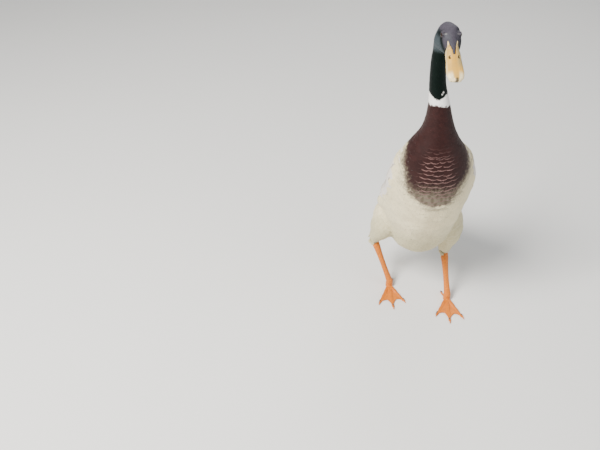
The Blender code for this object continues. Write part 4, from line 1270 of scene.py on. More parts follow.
def feather_group():
    """Colour and relief of one vane: shaft, barbs, fringe, dark streak and fine bars."""
    group, given, out = new_group(
        "Feather vane",
        (
            ("Plume", "NodeSocketColor", (0.5, 0.5, 0.5, 1)),
            ("Fringe", "NodeSocketColor", (0.8, 0.8, 0.8, 1)),
            ("Vane", "NodeSocketVector", None),
            ("Marks", "NodeSocketVector", None),
            ("Barbs", "NodeSocketFloat", 60.0),
            ("Softness", "NodeSocketFloat", 0.3),
        ),
        (("Color", "NodeSocketColor"), ("Height", "NodeSocketFloat")),
    )
    vane = step(group, "ShaderNodeSeparateXYZ", {0: given.outputs["Vane"]})
    marks = step(group, "ShaderNodeSeparateXYZ", {0: given.outputs["Marks"]})
    across, along, chance = vane.outputs
    out_from_shaft = maths(group, "ABSOLUTE", across)
    slant = plus(group, times(group, out_from_shaft, 0.45), times(group, along, -1))
    seed = step(group, "ShaderNodeCombineXYZ", {0: times(group, out_from_shaft, 1.5), 1: chance})
    wobble = noise(group, seed.outputs[0], 9.0, 2.0)
    drift = times(group, wobble, BARB_DRIFT)
    phase = times(group, plus(group, slant, drift), given.outputs["Barbs"])
    barbs = plus(group, times(group, maths(group, "SINE", phase), 0.5), 0.5)
    edge = plus(group, times(group, times(group, across, across), 0.13), along)
    ragged_edge = times(group, maths(group, "SUBTRACT", wobble, 0.5), 0.10)
    fringe = ramp(group, plus(group, edge, ragged_edge), *FRINGE_FROM)
    fringe = times(group, fringe, marks.outputs[0])
    colour = blend(group, times(group, fringe, 0.9), given.outputs["Plume"], given.outputs["Fringe"])
    streak = ramp(group, plus(group, out_from_shaft, ragged_edge), 0.16, 0.42, 1.0, 0.0)
    streak = times(group, streak, marks.outputs[1])
    colour = blend(group, times(group, streak, 0.75), colour, STREAK_TINT, "MULTIPLY")
    bars = maths(group, "SINE", times(group, plus(group, along, drift), BAR_COUNT))
    bars = times(group, ramp(group, bars, -0.1, 0.6), marks.outputs[2])
    colour = blend(group, times(group, bars, 0.35), colour, BAR_TINT, "MULTIPLY")
    shaft = ramp(group, out_from_shaft, 0.0, 0.09, 1.0, 0.0)
    colour = blend(group, times(group, shaft, 0.22), colour, SHAFT_TINT, "MULTIPLY")
    shade = times(group, maths(group, "SUBTRACT", barbs, 0.5), given.outputs["Softness"])
    shade = plus(group, shade, 1.0)
    shaded = step(group, "ShaderNodeVectorMath", {0: colour, "Scale": shade}, operation="SCALE")
    height = plus(group, times(group, barbs, 0.35), times(group, shaft, 0.8))
    group.links.new(shaded.outputs[0], out.inputs["Color"])
    group.links.new(height, out.inputs["Height"])


def grain_group():
    """Mottling of horn and bare skin: soft clouds, fine specks and a relief."""
    group, given, out = new_group(
        "Skin and horn grain",
        (
            ("Color", "NodeSocketColor", (0.5, 0.5, 0.5, 1)),
            ("Dark", "NodeSocketColor", (0.2, 0.2, 0.2, 1)),
            ("Cloud Size", "NodeSocketFloat", 90.0),
            ("Speck Size", "NodeSocketFloat", 900.0),
            ("Amount", "NodeSocketFloat", 0.4),
            ("Position", "NodeSocketVector", None),
        ),
        (("Color", "NodeSocketColor"), ("Height", "NodeSocketFloat"), ("Cloud", "NodeSocketFloat")),
    )
    place = given.outputs["Position"]
    cloud = noise(group, place, given.outputs["Cloud Size"], 4.0)
    specks = noise(group, place, given.outputs["Speck Size"], 3.0)
    clouded = ramp(group, cloud, 0.42, 0.72)
    dark = plus(group, times(group, clouded, 0.7), times(group, ramp(group, specks, 0.5, 0.72), 0.5))
    share = times(group, dark, given.outputs["Amount"])
    group.links.new(blend(group, share, given.outputs["Color"], given.outputs["Dark"]), out.inputs["Color"])
    group.links.new(specks, out.inputs["Height"])
    group.links.new(cloud, out.inputs["Cloud"])


def new_material(name, **constants):
    """A new material's nodes and its Principled shader with those plain values."""
    made = bpy.data.materials.new(name)
    made.use_nodes = True
    shader = made.node_tree.nodes["Principled BSDF"]
    for key, value in constants.items():
        shader.inputs[key.replace("_", " ")].default_value = value
    return made, made.node_tree, shader


def attribute(tree, name, output):
    """A value that comes with the mesh."""
    made = step(tree, "ShaderNodeAttribute", attribute_name=name, attribute_type="GEOMETRY")
    return made.outputs[output]


def bump(tree, shader, height, strength, distance):
    """Relief of that strength on the shader."""
    made = step(tree, "ShaderNodeBump", {"Height": height, "Strength": strength, "Distance": distance})
    tree.links.new(made.outputs[0], shader.inputs["Normal"])


def plumage_material(name, barbs, softness, relief, **constants):
    """Feathers: colours and marks come with the mesh, barbs and shafts from the group."""
    _, tree, shader = new_material(name, **constants)
    group = step(tree, "ShaderNodeGroup", node_tree=bpy.data.node_groups["Feather vane"])
    for label, output in (("Plume", "Color"), ("Fringe", "Color"), ("Vane", "Vector"), ("Marks", "Vector")):
        tree.links.new(attribute(tree, label.lower(), output), group.inputs[label])
    group.inputs["Barbs"].default_value = barbs
    group.inputs["Softness"].default_value = softness
    tree.links.new(group.outputs["Color"], shader.inputs["Base Color"])
    bump(tree, shader, group.outputs["Height"], relief, BARB_RELIEF)


def grained_material(name, dark, clouds, specks, amount, relief, **constants):
    """Skin, horn or bare leg: the colour comes with the mesh, the grain from the group."""
    _, tree, shader = new_material(name, **constants)
    place = object_place(tree)
    group = step(tree, "ShaderNodeGroup", node_tree=bpy.data.node_groups["Skin and horn grain"])
    tree.links.new(attribute(tree, "plume", "Color"), group.inputs["Color"])
    tree.links.new(place, group.inputs["Position"])
    group.inputs["Dark"].default_value = (*dark, 1)
    group.inputs["Cloud Size"].default_value = clouds
    group.inputs["Speck Size"].default_value = specks
    group.inputs["Amount"].default_value = amount
    tree.links.new(group.outputs["Color"], shader.inputs["Base Color"])
    bump(tree, shader, group.outputs["Height"], relief, SKIN_RELIEF)


# The eye: tints of the iris, pupil and rest, and where pupil and iris end as a share of the way round the ball
IRIS_TINTS = (0.030, 0.012, 0.006), (0.010, 0.005, 0.003)
PUPIL_TINT, EYE_REST_TINT = (0.002, 0.002, 0.002), (0.010, 0.008, 0.007)
PUPIL_EDGE, IRIS_EDGE = (0.115, 0.135), (0.25, 0.30)


def eye_material():
    """A dark eye with a black pupil and a brown ring round it, under a wet surface."""
    _, tree, shader = new_material(
        "wet eye", Roughness=0.12, Coat_Weight=0.35, Coat_Roughness=0.03, Specular_IOR_Level=0.25
    )
    gaze = attribute(tree, "gaze", "Fac")
    fibres = noise(tree, object_place(tree), 2600.0, 2.0)
    iris = blend(tree, fibres, *IRIS_TINTS)
    colour = blend(tree, ramp(tree, gaze, *PUPIL_EDGE), PUPIL_TINT, iris)
    colour = blend(tree, ramp(tree, gaze, *IRIS_EDGE), colour, EYE_REST_TINT)
    tree.links.new(colour, shader.inputs["Base Color"])


def floor_material(colour):
    """A matt floor with faint clouds and a fine grain."""
    made, tree, shader = new_material("studio floor", Roughness=0.75)
    place = object_place(tree)
    cloud = noise(tree, place, 3.0, 3.0)
    tree.links.new(blend(tree, cloud, [v * 0.97 for v in colour], colour), shader.inputs["Base Color"])
    bump(tree, shader, noise(tree, place, 400.0, 2.0), 0.05, 0.001)
    return made


def colour_property(label, words, default):
    """A setting for a colour."""
    return FloatVectorProperty(name=label, description=words, default=default, subtype="COLOR", size=3, min=0, max=1)


def length_property(label, words, default):
    """A setting for a length."""
    limits = {"min": 0.0002, "max": 0.2, "precision": 4}
    return FloatProperty(name=label, description=words, default=default, unit="LENGTH", subtype="DISTANCE", **limits)


class DrakeCoatSettings(bpy.types.PropertyGroup):
    """Sizes of the plumage."""

    head_depth: length_property("Head Depth", "How deep the plumage is on the head", 0.0010)
    body_depth: length_property("Body Depth", "How deep the plumage is on the trunk", 0.0032)
    head_step: length_property("Head Feather", "How much of a feather shows on the head", 0.0017)
    neck_step: length_property("Neck Feather", "How much of a feather shows on the upper neck", 0.0024)
    breast_step: length_property("Breast Feather", "How much of a feather shows on the breast", 0.0058)
    trunk_step: length_property("Trunk Feather", "How much of a feather shows on the belly and flanks", 0.0066)
    thigh_step: length_property("Thigh Feather", "How much of a feather shows on the thigh", 0.0044)


class DrakeColourSettings(bpy.types.PropertyGroup):
    """Colours of the plumage and of the bare parts."""

    # Purplish grey of the crown: partly its gloss colour, partly painted reflection of the sky.
    crown: colour_property("Crown", "Top of the head", (0.050, 0.044, 0.056))
    cheek: colour_property("Cheek", "Sides of the head", (0.034, 0.043, 0.048))
    brow: colour_property("Brow", "Pale spot before the eye", (0.17, 0.16, 0.16))
    neck_black: colour_property("Neck", "Upper neck", (0.0016, 0.0029, 0.0024))
    ring: colour_property("Ring", "Ring round the neck", (0.80, 0.78, 0.74))
    claret: colour_property("Breast", "Neck base and breast", (0.0205, 0.0058, 0.0052))
    claret_edge: colour_property("Breast Fringe", "Fringes in the middle of the breast", (0.20, 0.112, 0.102))
    bib_margin: colour_property("Breast Margin", "Mottled lower edge of the breast", (0.17, 0.143, 0.100))
    cream: colour_property("Flank", "Flanks and thighs", (0.71, 0.62, 0.395))
    cream_edge: colour_property("Flank Fringe", "Fringes of the pale feathers", (0.77, 0.70, 0.52))
    # The lower belly's olive tint is partly a stain and partly painted shade; the feathers under the tail take it too.
    belly: colour_property("Belly", "Lower belly", (0.47, 0.425, 0.245))
    shoulder: colour_property("Shoulder", "Small feathers on the front of the wing", (0.68, 0.62, 0.57))
    back: colour_property("Back", "Back and shoulder feathers", (0.30, 0.25, 0.20))
    back_edge: colour_property("Back Fringe", "Fringes on the back", (0.60, 0.54, 0.45))
    rump: colour_property("Rump", "Rump and the feathers over the tail", (0.045, 0.050, 0.042))
    wing: colour_property("Wing", "Coverts of the wing", (0.42, 0.36, 0.29))
    wing_edge: colour_property("Wing Fringe", "Fringes of the wing feathers", (0.72, 0.67, 0.58))
    primary: colour_property("Primaries", "Long flight feathers", (0.26, 0.21, 0.17))
    speculum: colour_property("Speculum", "Blue bar on the wing", (0.022, 0.040, 0.085))
    tail: colour_property("Tail", "Tail feathers", (0.20, 0.17, 0.145))
    bill: colour_property("Bill", "Horn of the bill", (0.58, 0.32, 0.045))
    # The pale edge colour is the horn's own along the sides, and also paints a highlight on both sides of the tip.
    bill_edge_and_highlight: colour_property("Bill Edge", "Edges and tip of the bill", (0.80, 0.66, 0.38))
    # The olive tint is a stain at the bill's root and in its grain, and is also painted shade on the bill's far side.
    bill_stain_and_shade: colour_property("Bill Shade", "Olive stain on the bill", (0.30, 0.23, 0.10))
    # The nail's colour also paints the nostrils, as the shade inside the openings.
    nail: colour_property("Nail", "Nail at the tip of the bill", (0.012, 0.010, 0.008))
    leg: colour_property("Leg", "Shanks and toes", (0.64, 0.17, 0.006))
    leg_edge: colour_property("Leg Joints", "Furrows between the scales", (0.34, 0.07, 0.008))
    claw: colour_property("Claw", "Claws", (0.10, 0.065, 0.045))
    lid: colour_property("Lid", "Bare rims of the lids", (0.020, 0.017, 0.018))


class DrakeStageSettings(bpy.types.PropertyGroup):
    """The studio."""

    floor: colour_property("Floor", "Colour of the floor", (0.78, 0.77, 0.74))
    key: FloatProperty(name="Key Light", description="Strength of the main light", default=135.0, min=0, unit="POWER")
    fill: FloatProperty(name="Fill Light", description="Strength of the side light", default=14.0, min=0, unit="POWER")
    sky: FloatProperty(name="Sky", description="Strength of the light from all round", default=0.38, min=0)
    lens: FloatProperty(
        name="Lens", description="Focal length of the camera", default=38.4, unit="CAMERA", min=10, max=200
    )


class DrakeOperator(bpy.types.Operator):
    """Shared by the operators of the drake."""

    bl_options = {"REGISTER", "UNDO"}

    def need_skin(self):
        """Raises if there is no skin to lay feathers on."""
        if Bird.skin is None:
            raise RuntimeError("make the skin first")


class DRAKE_OT_materials(DrakeOperator):
    """Makes the finishes of plumage, skin, horn and eyes"""

    bl_idname = "drake.materials"
    bl_label = "Finishes"

    def execute(self, context):
        feather_group()
        grain_group()
        plumage_material(
            "head plumage", 46, 0.16, 0.15, Roughness=0.50, Sheen_Weight=0.05, Sheen_Roughness=0.4,
            Sheen_Tint=(0.62, 0.66, 0.80, 1), Specular_Tint=(0.62, 1.0, 0.85, 1), Specular_IOR_Level=0.10,
        )
        plumage_material(
            "breast plumage", 60, 0.18, 0.2, Roughness=0.55, Sheen_Weight=0.05, Sheen_Roughness=0.5,
            Sheen_Tint=(1.0, 0.85, 0.80, 1), Specular_IOR_Level=0.15,
        )
        plumage_material(
            "pale plumage", 55, 0.10, 0.25, Roughness=0.80, Sheen_Weight=0.10, Sheen_Roughness=0.6,
            Specular_IOR_Level=0.3,
        )
        plumage_material("wing plumage", 110, 0.14, 0.30, Roughness=0.55, Sheen_Weight=0.15, Sheen_Roughness=0.5)
        plumage_material("leg scutes", 20, 0.05, 0.2, Roughness=0.42)
        plumage_material("tail plumage", 120, 0.20, 0.30, Roughness=0.50, Sheen_Weight=0.10, Sheen_Roughness=0.5)
        grained_material(
            "skin", (0.03, 0.026, 0.022), 120, 1400, 0.12, 0.3, Roughness=0.8, Specular_IOR_Level=0.1
        )
        grained_material(
            "bill horn", tuple(paint("bill_stain_and_shade")), 70, 1500, 0.42, 0.12, Roughness=0.36,
            Coat_Weight=0.05, Coat_Roughness=0.25,
        )
        grained_material("leg hide", tuple(paint("leg_edge")), 160, 1300, 0.45, 0.35, Roughness=0.46)
        grained_material("claw horn", (0.02, 0.015, 0.012), 300, 1800, 0.5, 0.15, Roughness=0.35)
        grained_material(
            "lid hide", (0.01, 0.009, 0.009), 500, 2600, 0.5, 0.3, Roughness=0.6, Specular_IOR_Level=0.12
        )
        eye_material()
        return {"FINISHED"}


class DRAKE_OT_skin(DrakeOperator):
    """Makes one skin over trunk, neck, head and thighs, under the plumage"""

    bl_idname = "drake.skin"
    bl_label = "Skin"

    def execute(self, context):
        Bird.dice = np.random.default_rng(SEED)
        Bird.trunk = trunk_reach()
        Bird.bill = Surface(*joined(node_surface("bill_upper", "bill_lower"), prong_forms()))
        at, angles, reach = Bird.trunk
        rings = []
        for k, place in enumerate(at):
            centres, ways = LINE.rays(np.full(len(angles), place), angles)
            rings.append(centres + ways * reach[k][:, None])
        solids = node_surface("neck_lower", "neck_upper", "head", "eye_left", "eye_right", "thigh_left", "thigh_right")
        points, faces = joined(solids, ring_loft(rings), ring_loft(tail_root_rings()))
        points, faces = melted("skin_lump", points, faces, SKIN_GRAIN, SKIN_ROUNDS)
        outer = Surface(points, faces)
        points = points + outer.vertex_normals * (fullness(points) - coat_depth(points))[:, None]
        Bird.skin = Surface(points, faces)
        made = grown("skin", points, faces, "skin")
        colour, _, _ = markings(points, np.full(len(points), 0.5))
        set_colours(made.data, "plume", colour * SKIN_DARKER)
        line_at, line_angle = LINE.locate(points)
        along = UNWRAP_MARGIN_ALONG + line_at / LINE.length * UNWRAP_SHARE
        unwrap(made, line_angle / (2 * math.pi) + 0.5, along)
        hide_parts(*FLESH)
        return {"FINISHED"}


def ragged(grid, share):
    """Pulls the points near the tips along the feather by chance, as loose barbs lie."""
    count, rows, columns, _ = grid.shape
    reach = grid[:, -1] - grid[:, 0]
    for r in range(rows // 2, rows):
        pull = Bird.dice.normal(0, share * (r + 1) / rows, (count, columns, 1))
        grid[:, r] += reach * np.clip(pull, -2 * share, share)
    return grid


def turned_ways(roots, ways, turn):
    """The ways laid into the skin at the roots, and turned a little there."""
    _, normals = Bird.skin.settle(roots)
    ways = flatten(ways, normals)
    return ways * np.cos(turn) + np.cross(normals, ways) * np.sin(turn)


# How the feathers of the coat vary by chance, how deep they lie, and their length and half width as shares
COAT_VARIES, COAT_TURNS, COAT_LOW, COAT_HIGH, COAT_LENGTH, COAT_HALF = (0.05, 0.04), 0.055, 0.76, 0.97, 2.3, 0.68
BARB_HALF, BARB_TURNS, BARB_LOW = 0.0004, 0.16, 0.72


def lay_down(name, roots, ways, at, angles, length, depth):
    """Fine loose barbs over the pale feathers of a patch, as one piece."""
    alongs, wides = outline(STRAND)
    count = len(roots)
    lengths = length * (0.8 + 0.4 * Bird.dice.random(count))
    turn = Bird.dice.normal(0, BARB_TURNS, count)[:, None]
    centres, ups = centre_lines(Bird.skin, roots, turned_ways(roots, ways, turn), lengths, alongs)
    chance = Bird.dice.random(count)
    lifts = depth[:, None] * (BARB_LOW + (0.22 + 0.16 * chance[:, None]) * alongs[None])
    centres = centres + ups * lifts[..., None]
    grid = free_vanes(centres, ups, np.full(count, BARB_HALF), wides, BARB_HALF * 0.5, 3)
    colour, fringe, marks = markings(centres[:, -2], chance)
    marks[:, 0] *= 0.5
    tints = (colour, fringe, marks, chance)
    return vane_mesh(name, grid, alongs, tints, patches(at, angles), "pale plumage")


def lay_coat(name, patch, steps, widths, shape, depth, ridge, material, columns=5, loose=0.03, hang=None):
    """Feathers over a patch of skin, with the body's markings, as one piece.

    The patch gives their roots, their ways, and the roots' places along the line and angles round it.
    """
    roots, ways, at, angles = patch
    count = len(roots)
    alongs, wides = outline(shape)
    lengths = steps * COAT_LENGTH * (1 + Bird.dice.normal(0, COAT_VARIES[0], count))
    halves = widths * COAT_HALF * (1 + Bird.dice.normal(0, COAT_VARIES[1], count))
    turn = Bird.dice.normal(0, COAT_TURNS, count)[:, None]
    centres, ups = centre_lines(Bird.skin, roots, turned_ways(roots, ways, turn), lengths, alongs, hang)
    tilt = toward(COAT_LOW, COAT_HIGH, alongs[None]) + Bird.dice.normal(0, 0.02, count)[:, None]
    grid = spread_vanes(Bird.skin, centres, ups, halves, wides, depth[:, None] * tilt, ridge, columns)
    grid = ragged(grid, loose)
    chance = Bird.dice.random(count)
    every = grid.reshape(-1, 3)
    speck = Bird.dice.normal(0, 1, len(every))
    colour, fringe, marks = markings(every, np.repeat(chance, len(every) // count), speck)
    return vane_mesh(name, grid, alongs, (colour, fringe, marks, chance), patches(at, angles), material)


# Heights where the feathers of neck and trunk change size, and where one piece of the coat ends and the next starts
SIZE_HEIGHTS = (0.541, 0.458, 0.372, 0.250)
COAT_WIDER = (1.15, 1.25, 2.2, 1.5, 1.3)
RUMP_STEP = 0.0085
COAT_END = 0.026
COAT_SPLITS = (0.466, 0.395, 0.27)
COAT_RIDGE = 0.00012
# Loose barbs: how many, how far round the front and on how pale a ground
BARB_COUNT, BARB_FRONT, BARB_PALE = 8500, 115, 0.2


class DRAKE_OT_trunk_coat(DrakeOperator):
    """Lays the feathers of neck, breast, belly and back in rows"""

    bl_idname = "drake.trunk_coat"
    bl_label = "Neck and Trunk Feathers"

    def execute(self, context):
        self.need_skin()
        settings = context.scene.drake_coat
        end = LINE.length - COAT_END
        knots = [*(place_at_height(height) for height in SIZE_HEIGHTS), end]
        steps = (settings.neck_step, settings.neck_step * 1.15, settings.breast_step, settings.trunk_step, RUMP_STEP)

        def size(at):
            """How much of a feather shows there."""
            return float(curve(knots, steps, at))

        def width(at):
            """How wide a feather is there."""
            return size(at) * float(curve(knots, COAT_WIDER, at))

        split, low, middle = (place_at_height(height) for height in COAT_SPLITS)
        parts = (
            ("coat_neck_upper", knots[0], split, "head plumage", "head_green", 0.04),
            ("coat_neck_lower", split, low, "breast plumage", "claret", 0.028),
            ("coat_breast", low, middle, "breast plumage", "cream", 0.028),
            ("coat_belly", middle, end, "pale plumage", "cream", 0.04),
        )
        for name, start, stop, material, slot, loose in parts:
            patch = ring_roots(start, stop, size, width, lambda at, angles: ~inside_wing(at, angles))
            sizes, widths = (np.array([measure(at) for at in patch[2]]) for measure in (size, width))
            depth = coat_depth(patch[0])
            lay_coat(name, patch, sizes, widths, SCALLOP, depth, COAT_RIDGE, material, 9, loose)
        self.loose_barbs("strands_breast", low, middle, 0.0075)
        self.loose_barbs("strands_belly", middle, end, 0.0085)
        return {"FINISHED"}

    def loose_barbs(self, name, start, stop, length):
        """Lays loose barbs over the pale parts between two places on the line."""
        places = Bird.dice.uniform(start, stop, BARB_COUNT)
        angles = Bird.dice.uniform(-math.pi, math.pi, BARB_COUNT)
        centres, rays = LINE.rays(places, angles)
        spots, _ = Bird.skin.cast(centres, rays)
        front = 180 - np.degrees(abs(angles))
        good = ~np.isnan(spots[:, 0]) & ~inside_wing(places, angles) & (front < BARB_FRONT)
        good &= markings(np.nan_to_num(spots), np.full(BARB_COUNT, 0.5))[0].min(axis=1) > BARB_PALE
        spots, places, angles = spots[good], places[good], angles[good]
        lay_down(name, spots, LINE.ways[LINE.index(places)], places, angles, length, coat_depth(spots))


# The head's feathers: samples a face, how close they lie, and how near the bill they end
HEAD_SAMPLES, HEAD_CLOSE, HEAD_FROM_BILL = 7, 0.66, 0.0004
# How far from the middle of an eye the lids end, and over which gap the feathers turn to run round it
LIDS_END, EYE_NEAR = 0.0085, (0.0050, 0.0035)


class DRAKE_OT_head_coat(DrakeOperator):
    """Lays the small feathers of the head back from the bill"""

    bl_idname = "drake.head_coat"
    bl_label = "Head Feathers"

    def execute(self, context):
        self.need_skin()
        step_size = context.scene.drake_coat.head_step
        skin = Bird.skin
        middles = skin.middles()
        head_end = place_at_height(SIZE_HEIGHTS[0])
        line_at, _ = LINE.locate(middles)
        chosen = np.flatnonzero((line_at < head_end + 0.002) & (middles[:, 2] > 0.50))
        points, normals = skin.settle(skin_samples(chosen, HEAD_SAMPLES))
        at, angles = LINE.locate(points)
        to_bill = apart(Bird.bill.settle(points)[0], points)
        to_eye = np.full(len(points), 1.0)
        near_eye = np.zeros(len(points))
        good = to_bill > HEAD_FROM_BILL
        ways = LINE.ways[LINE.index(at)]
        for _, side in SIDES:
            middle, axis, ahead, up = (np.array(v) for v in eye_frame(side))
            aside = points - middle
            gap = np.linalg.norm(aside, axis=1)
            tilt = np.arccos(np.clip(aside @ axis / gap, -1, 1))
            across = unit(np.stack([aside @ ahead, aside @ up], axis=1))
            clear = LID_RIM + LID_RIM_AHEAD * smooth_step(across[:, 0], 0.1, 0.8)
            good &= (gap > LIDS_END) | (tilt > lid_opening(across[:, 0], across[:, 1]) + clear)
            away = flatten(aside, normals)
            round_it = np.cross(normals, away)
            round_it = round_it * np.sign((round_it * ways).sum(axis=1))[:, None]
            near = np.clip(1 - (gap - EYE_NEAR[0]) / EYE_NEAR[1], 0, 1)[:, None]
            ways = unit(unit(away * 0.35 + round_it * 0.9) * near + flatten(ways, normals) * (1 - near))
            to_eye = np.minimum(to_eye, gap)
            near_eye = np.maximum(near_eye, falling(gap, 0.0052, 0.0075))
        size = step_size * (0.62 + 0.38 * smooth_step(to_bill, 0.002, 0.022))
        size = size * (0.5 + 0.5 * smooth_step(to_eye, 0.005, 0.010))
        rows = [part[good] for part in (points, ways, at, angles, size, near_eye)]
        order = rows[2] + Bird.dice.normal(0, 0.0002, len(rows[2]))
        kept = scattered_roots(rows[0], order, rows[4] * HEAD_CLOSE)
        *patch, size, near_eye = (part[kept] for part in rows)
        depth = coat_depth(patch[0]) + 0.00012 * near_eye
        lay_coat("coat_head", patch, size, size * 0.95, SMALL, depth, 0.00006, "head plumage", 3)
        return {"FINISHED"}


# Where a thigh's feathers may root: how free it is there, and how level the skin lies, near its end and above
THIGH_FREE, THIGH_END, THIGH_LEVEL = 0.15, 0.02, (0.15, 0.45)
THIGH_BARB = 0.0085


class DRAKE_OT_thigh_coat(DrakeOperator):
    """Lays the soft feathers of both thighs"""

    bl_idname = "drake.thigh_coat"
    bl_label = "Thigh Feathers"

    def execute(self, context):
        self.need_skin()
        step_size = context.scene.drake_coat.thigh_step
        skin = Bird.skin
        middles = skin.middles()
        share = thigh_share(middles)
        trunk_side = LINE.points[LINE.index(LINE.length * 0.8)][0]
        for name, side in SIDES:
            line = THIGHS[name]
            chosen = np.flatnonzero((share > THIGH_FREE) & ((middles[:, 0] - trunk_side) * side > 0))
            points, normals = skin.settle(skin_samples(chosen, 1))
            at, _ = line.locate(points)
            slope = abs((normals * line.ways[line.index(at)]).sum(axis=1))
            level = slope < np.where(at > line.length - THIGH_END, *THIGH_LEVEL)
            points, at = points[level], at[level]
            kept = scattered_roots(points, at, np.full(len(points), step_size))
            points, at = points[kept], at[kept]
            size = np.full(len(points), step_size)
            depth = coat_depth(points) * 0.9
            patch = (points, line.ways[line.index(at)], *LINE.locate(points))
            hang = at > line.length - THIGH_HANG
            piece = "coat_thigh_" + name
            lay_coat(piece, patch, size, size * 1.2, SOFT, depth, COAT_RIDGE, "pale plumage", hang=hang)
            lay_down("strands_thigh_" + name, *patch, THIGH_BARB, depth)
        return {"FINISHED"}


def tiers_mesh(name, grids, alongs, tints, roots, material):
    """Several tiers of large feathers as one piece."""
    tints = tuple(np.concatenate(part) for part in zip(*tints))
    return vane_mesh(name, np.concatenate(grids), alongs, tints, np.concatenate(roots), material, WING_PATCH)


class DRAKE_OT_wings(DrakeOperator):
    """Lays the tiers of both folded wings and the shoulder feathers"""

    bl_idname = "drake.wings"
    bl_label = "Wings"

    def execute(self, context):
        self.need_skin()
        for name, side in SIDES:
            for kind, tiers in (("flight", FLIGHT), ("coverts", covert_tiers()), ("scapulars", scapular_tiers())):
                place = shoulder_place if kind == "scapulars" else wing_place
                stray = 0.0 if kind == "flight" else COVERT_STRAY
                alongs = np.linspace(0, 1, 9)
                grids, tints, roots = [], [], []
                for label, count, from_to, tips, halves, lifts, shape in tiers:
                    wides = curve(*outline(shape), alongs)
                    centres, ups, root = wing_tier(side, count, from_to, tips, alongs, place, stray)
                    half = np.linspace(*halves, count)
                    if kind == "flight":
                        stack = np.linspace(0, FLIGHT_STACK, count)
                    else:
                        stack = Bird.dice.normal(0, COVERT_STACK, count)
                    lift = toward(*lifts, alongs[None]) + stack[:, None]
                    grids.append(ragged(spread_vanes(Bird.skin, centres, ups, half, wides, lift, WING_RIDGE, 5), 0.012))
                    tints.append(wing_tints(label, count, centres[:, -2]))
                    roots.append(patches(*root))
                piece = tiers_mesh(f"wing_{kind}_{name}", grids, alongs, tints, roots, "wing plumage")
                if kind == "flight":
                    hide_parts("wing_" + name)
        return {"FINISHED"}


class DRAKE_OT_tail(DrakeOperator):
    """Makes the tail's fan, its coverts and the drake's curled feathers"""

    bl_idname = "drake.tail"
    bl_label = "Tail"

    def execute(self, context):
        self.need_skin()
        alongs = np.linspace(0, 1, 10)
        wides = curve(*outline(QUILL), alongs)
        grids, tints, roots = [], [], []
        for label, count, *tier in TAIL_TIERS:
            grid, spread = tail_tier(count, *tier, alongs, wides)
            chance = Bird.dice.random(count)
            under = label.startswith("under")
            # The feathers under the tail take the belly's olive tint, which is partly a stain and partly painted shade.
            base = "tail" if label == "rectrix" else "belly" if under else "rump"
            fringe = paint("back_edge") if label == "rectrix" else paint(base) * 1.5
            marks = np.tile([0.8, 0.2, 0.0], (count, 1))
            grids.append(grid)
            tints.append((varied(base, chance, 0.9, 0.2), np.tile(fringe, (count, 1)), marks, chance))
            at = np.full(count, LINE.length - 0.03)
            roots.append(patches(at, spread * 3 + (math.pi * 0.9 if under else 0)))
        fan = tiers_mesh("tail_feathers", grids, alongs, tints, roots, "tail plumage")
        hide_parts("tail")
        grids = []
        for k, (sideways, radius) in enumerate(CURLS):
            start = tail_line(np.array(0.0), CURL_PLACE[0], CURL_PLACE[1] + CURL_LIFT * k + CURL_RISE)
            grid, way = curl_grid(sideways, start, radius)
            grids.append(grid)
        count = len(CURLS)
        colour = np.tile(paint("rump"), (count, 1))
        tint = (colour, colour * 1.8, np.tile([0.5, 0.0, 0.0], (count, 1)), np.linspace(0.1, 0.9, count))
        places = patches(np.full(count, LINE.length - 0.02), np.linspace(-0.4, 0.4, count))
        tiers_mesh("tail_curls", grids, way, [tint], [places], "tail plumage")
        return {"FINISHED"}


class DRAKE_OT_eyes(DrakeOperator):
    """Makes the eyes and their lids"""

    bl_idname = "drake.eyes"
    bl_label = "Eyes and Lids"

    def execute(self, context):
        for name, side in SIDES:
            middle = np.array(eye_frame(side)[0])
            points, faces, gaze = eyeball(side)
            ball = grown("eyeball_" + name, points, faces, "wet eye")
            set_values(ball.data, "gaze", "FLOAT", "value", gaze)
            spots = np.array(points) - middle
            unwrap(ball, turn_share(spots[:, 2], spots[:, 1]), gaze)
            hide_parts("eye_" + name)
            points, faces, rim = lid_band(side)
            lids = grown("lids_" + name, points, faces, "lid hide")
            spots = np.array(points)
            tint = head_tints(spots, np.zeros(len(spots)))
            set_colours(lids.data, "plume", np.where(rim[:, None], paint("lid"), tint))
            spots = spots - middle
            unwrap(lids, turn_share(spots[:, 2], spots[:, 1]), np.linspace(0.05, 0.95, len(spots)))
        return {"FINISHED"}


BILL_GRAIN = 0.00036
# Half the bill's width along it, from its root to its tip
BILL_WIDTH = (
    (0, 0.0064), (0.0135, 0.0102), (0.038, 0.0119), (0.049, 0.0118), (0.0553, 0.0094), (0.0587, 0.005),
)
RIDGE_TINT = (0.86, 0.78, 0.62)
# Nail and nostrils in the bill's axes: how far ahead, how far aside, half their length and half their width
NAIL, NOSTRIL = (0.0585, 0.0, 0.0036, 0.0019), (0.0236, 0.0062, 0.0031, 0.0017)


def off_spot(spot, ahead, aside):
    """How far points lie from a spot's middle, 1 on its edge."""
    return np.hypot((ahead - spot[0]) / spot[2], (aside - spot[1]) / spot[3])


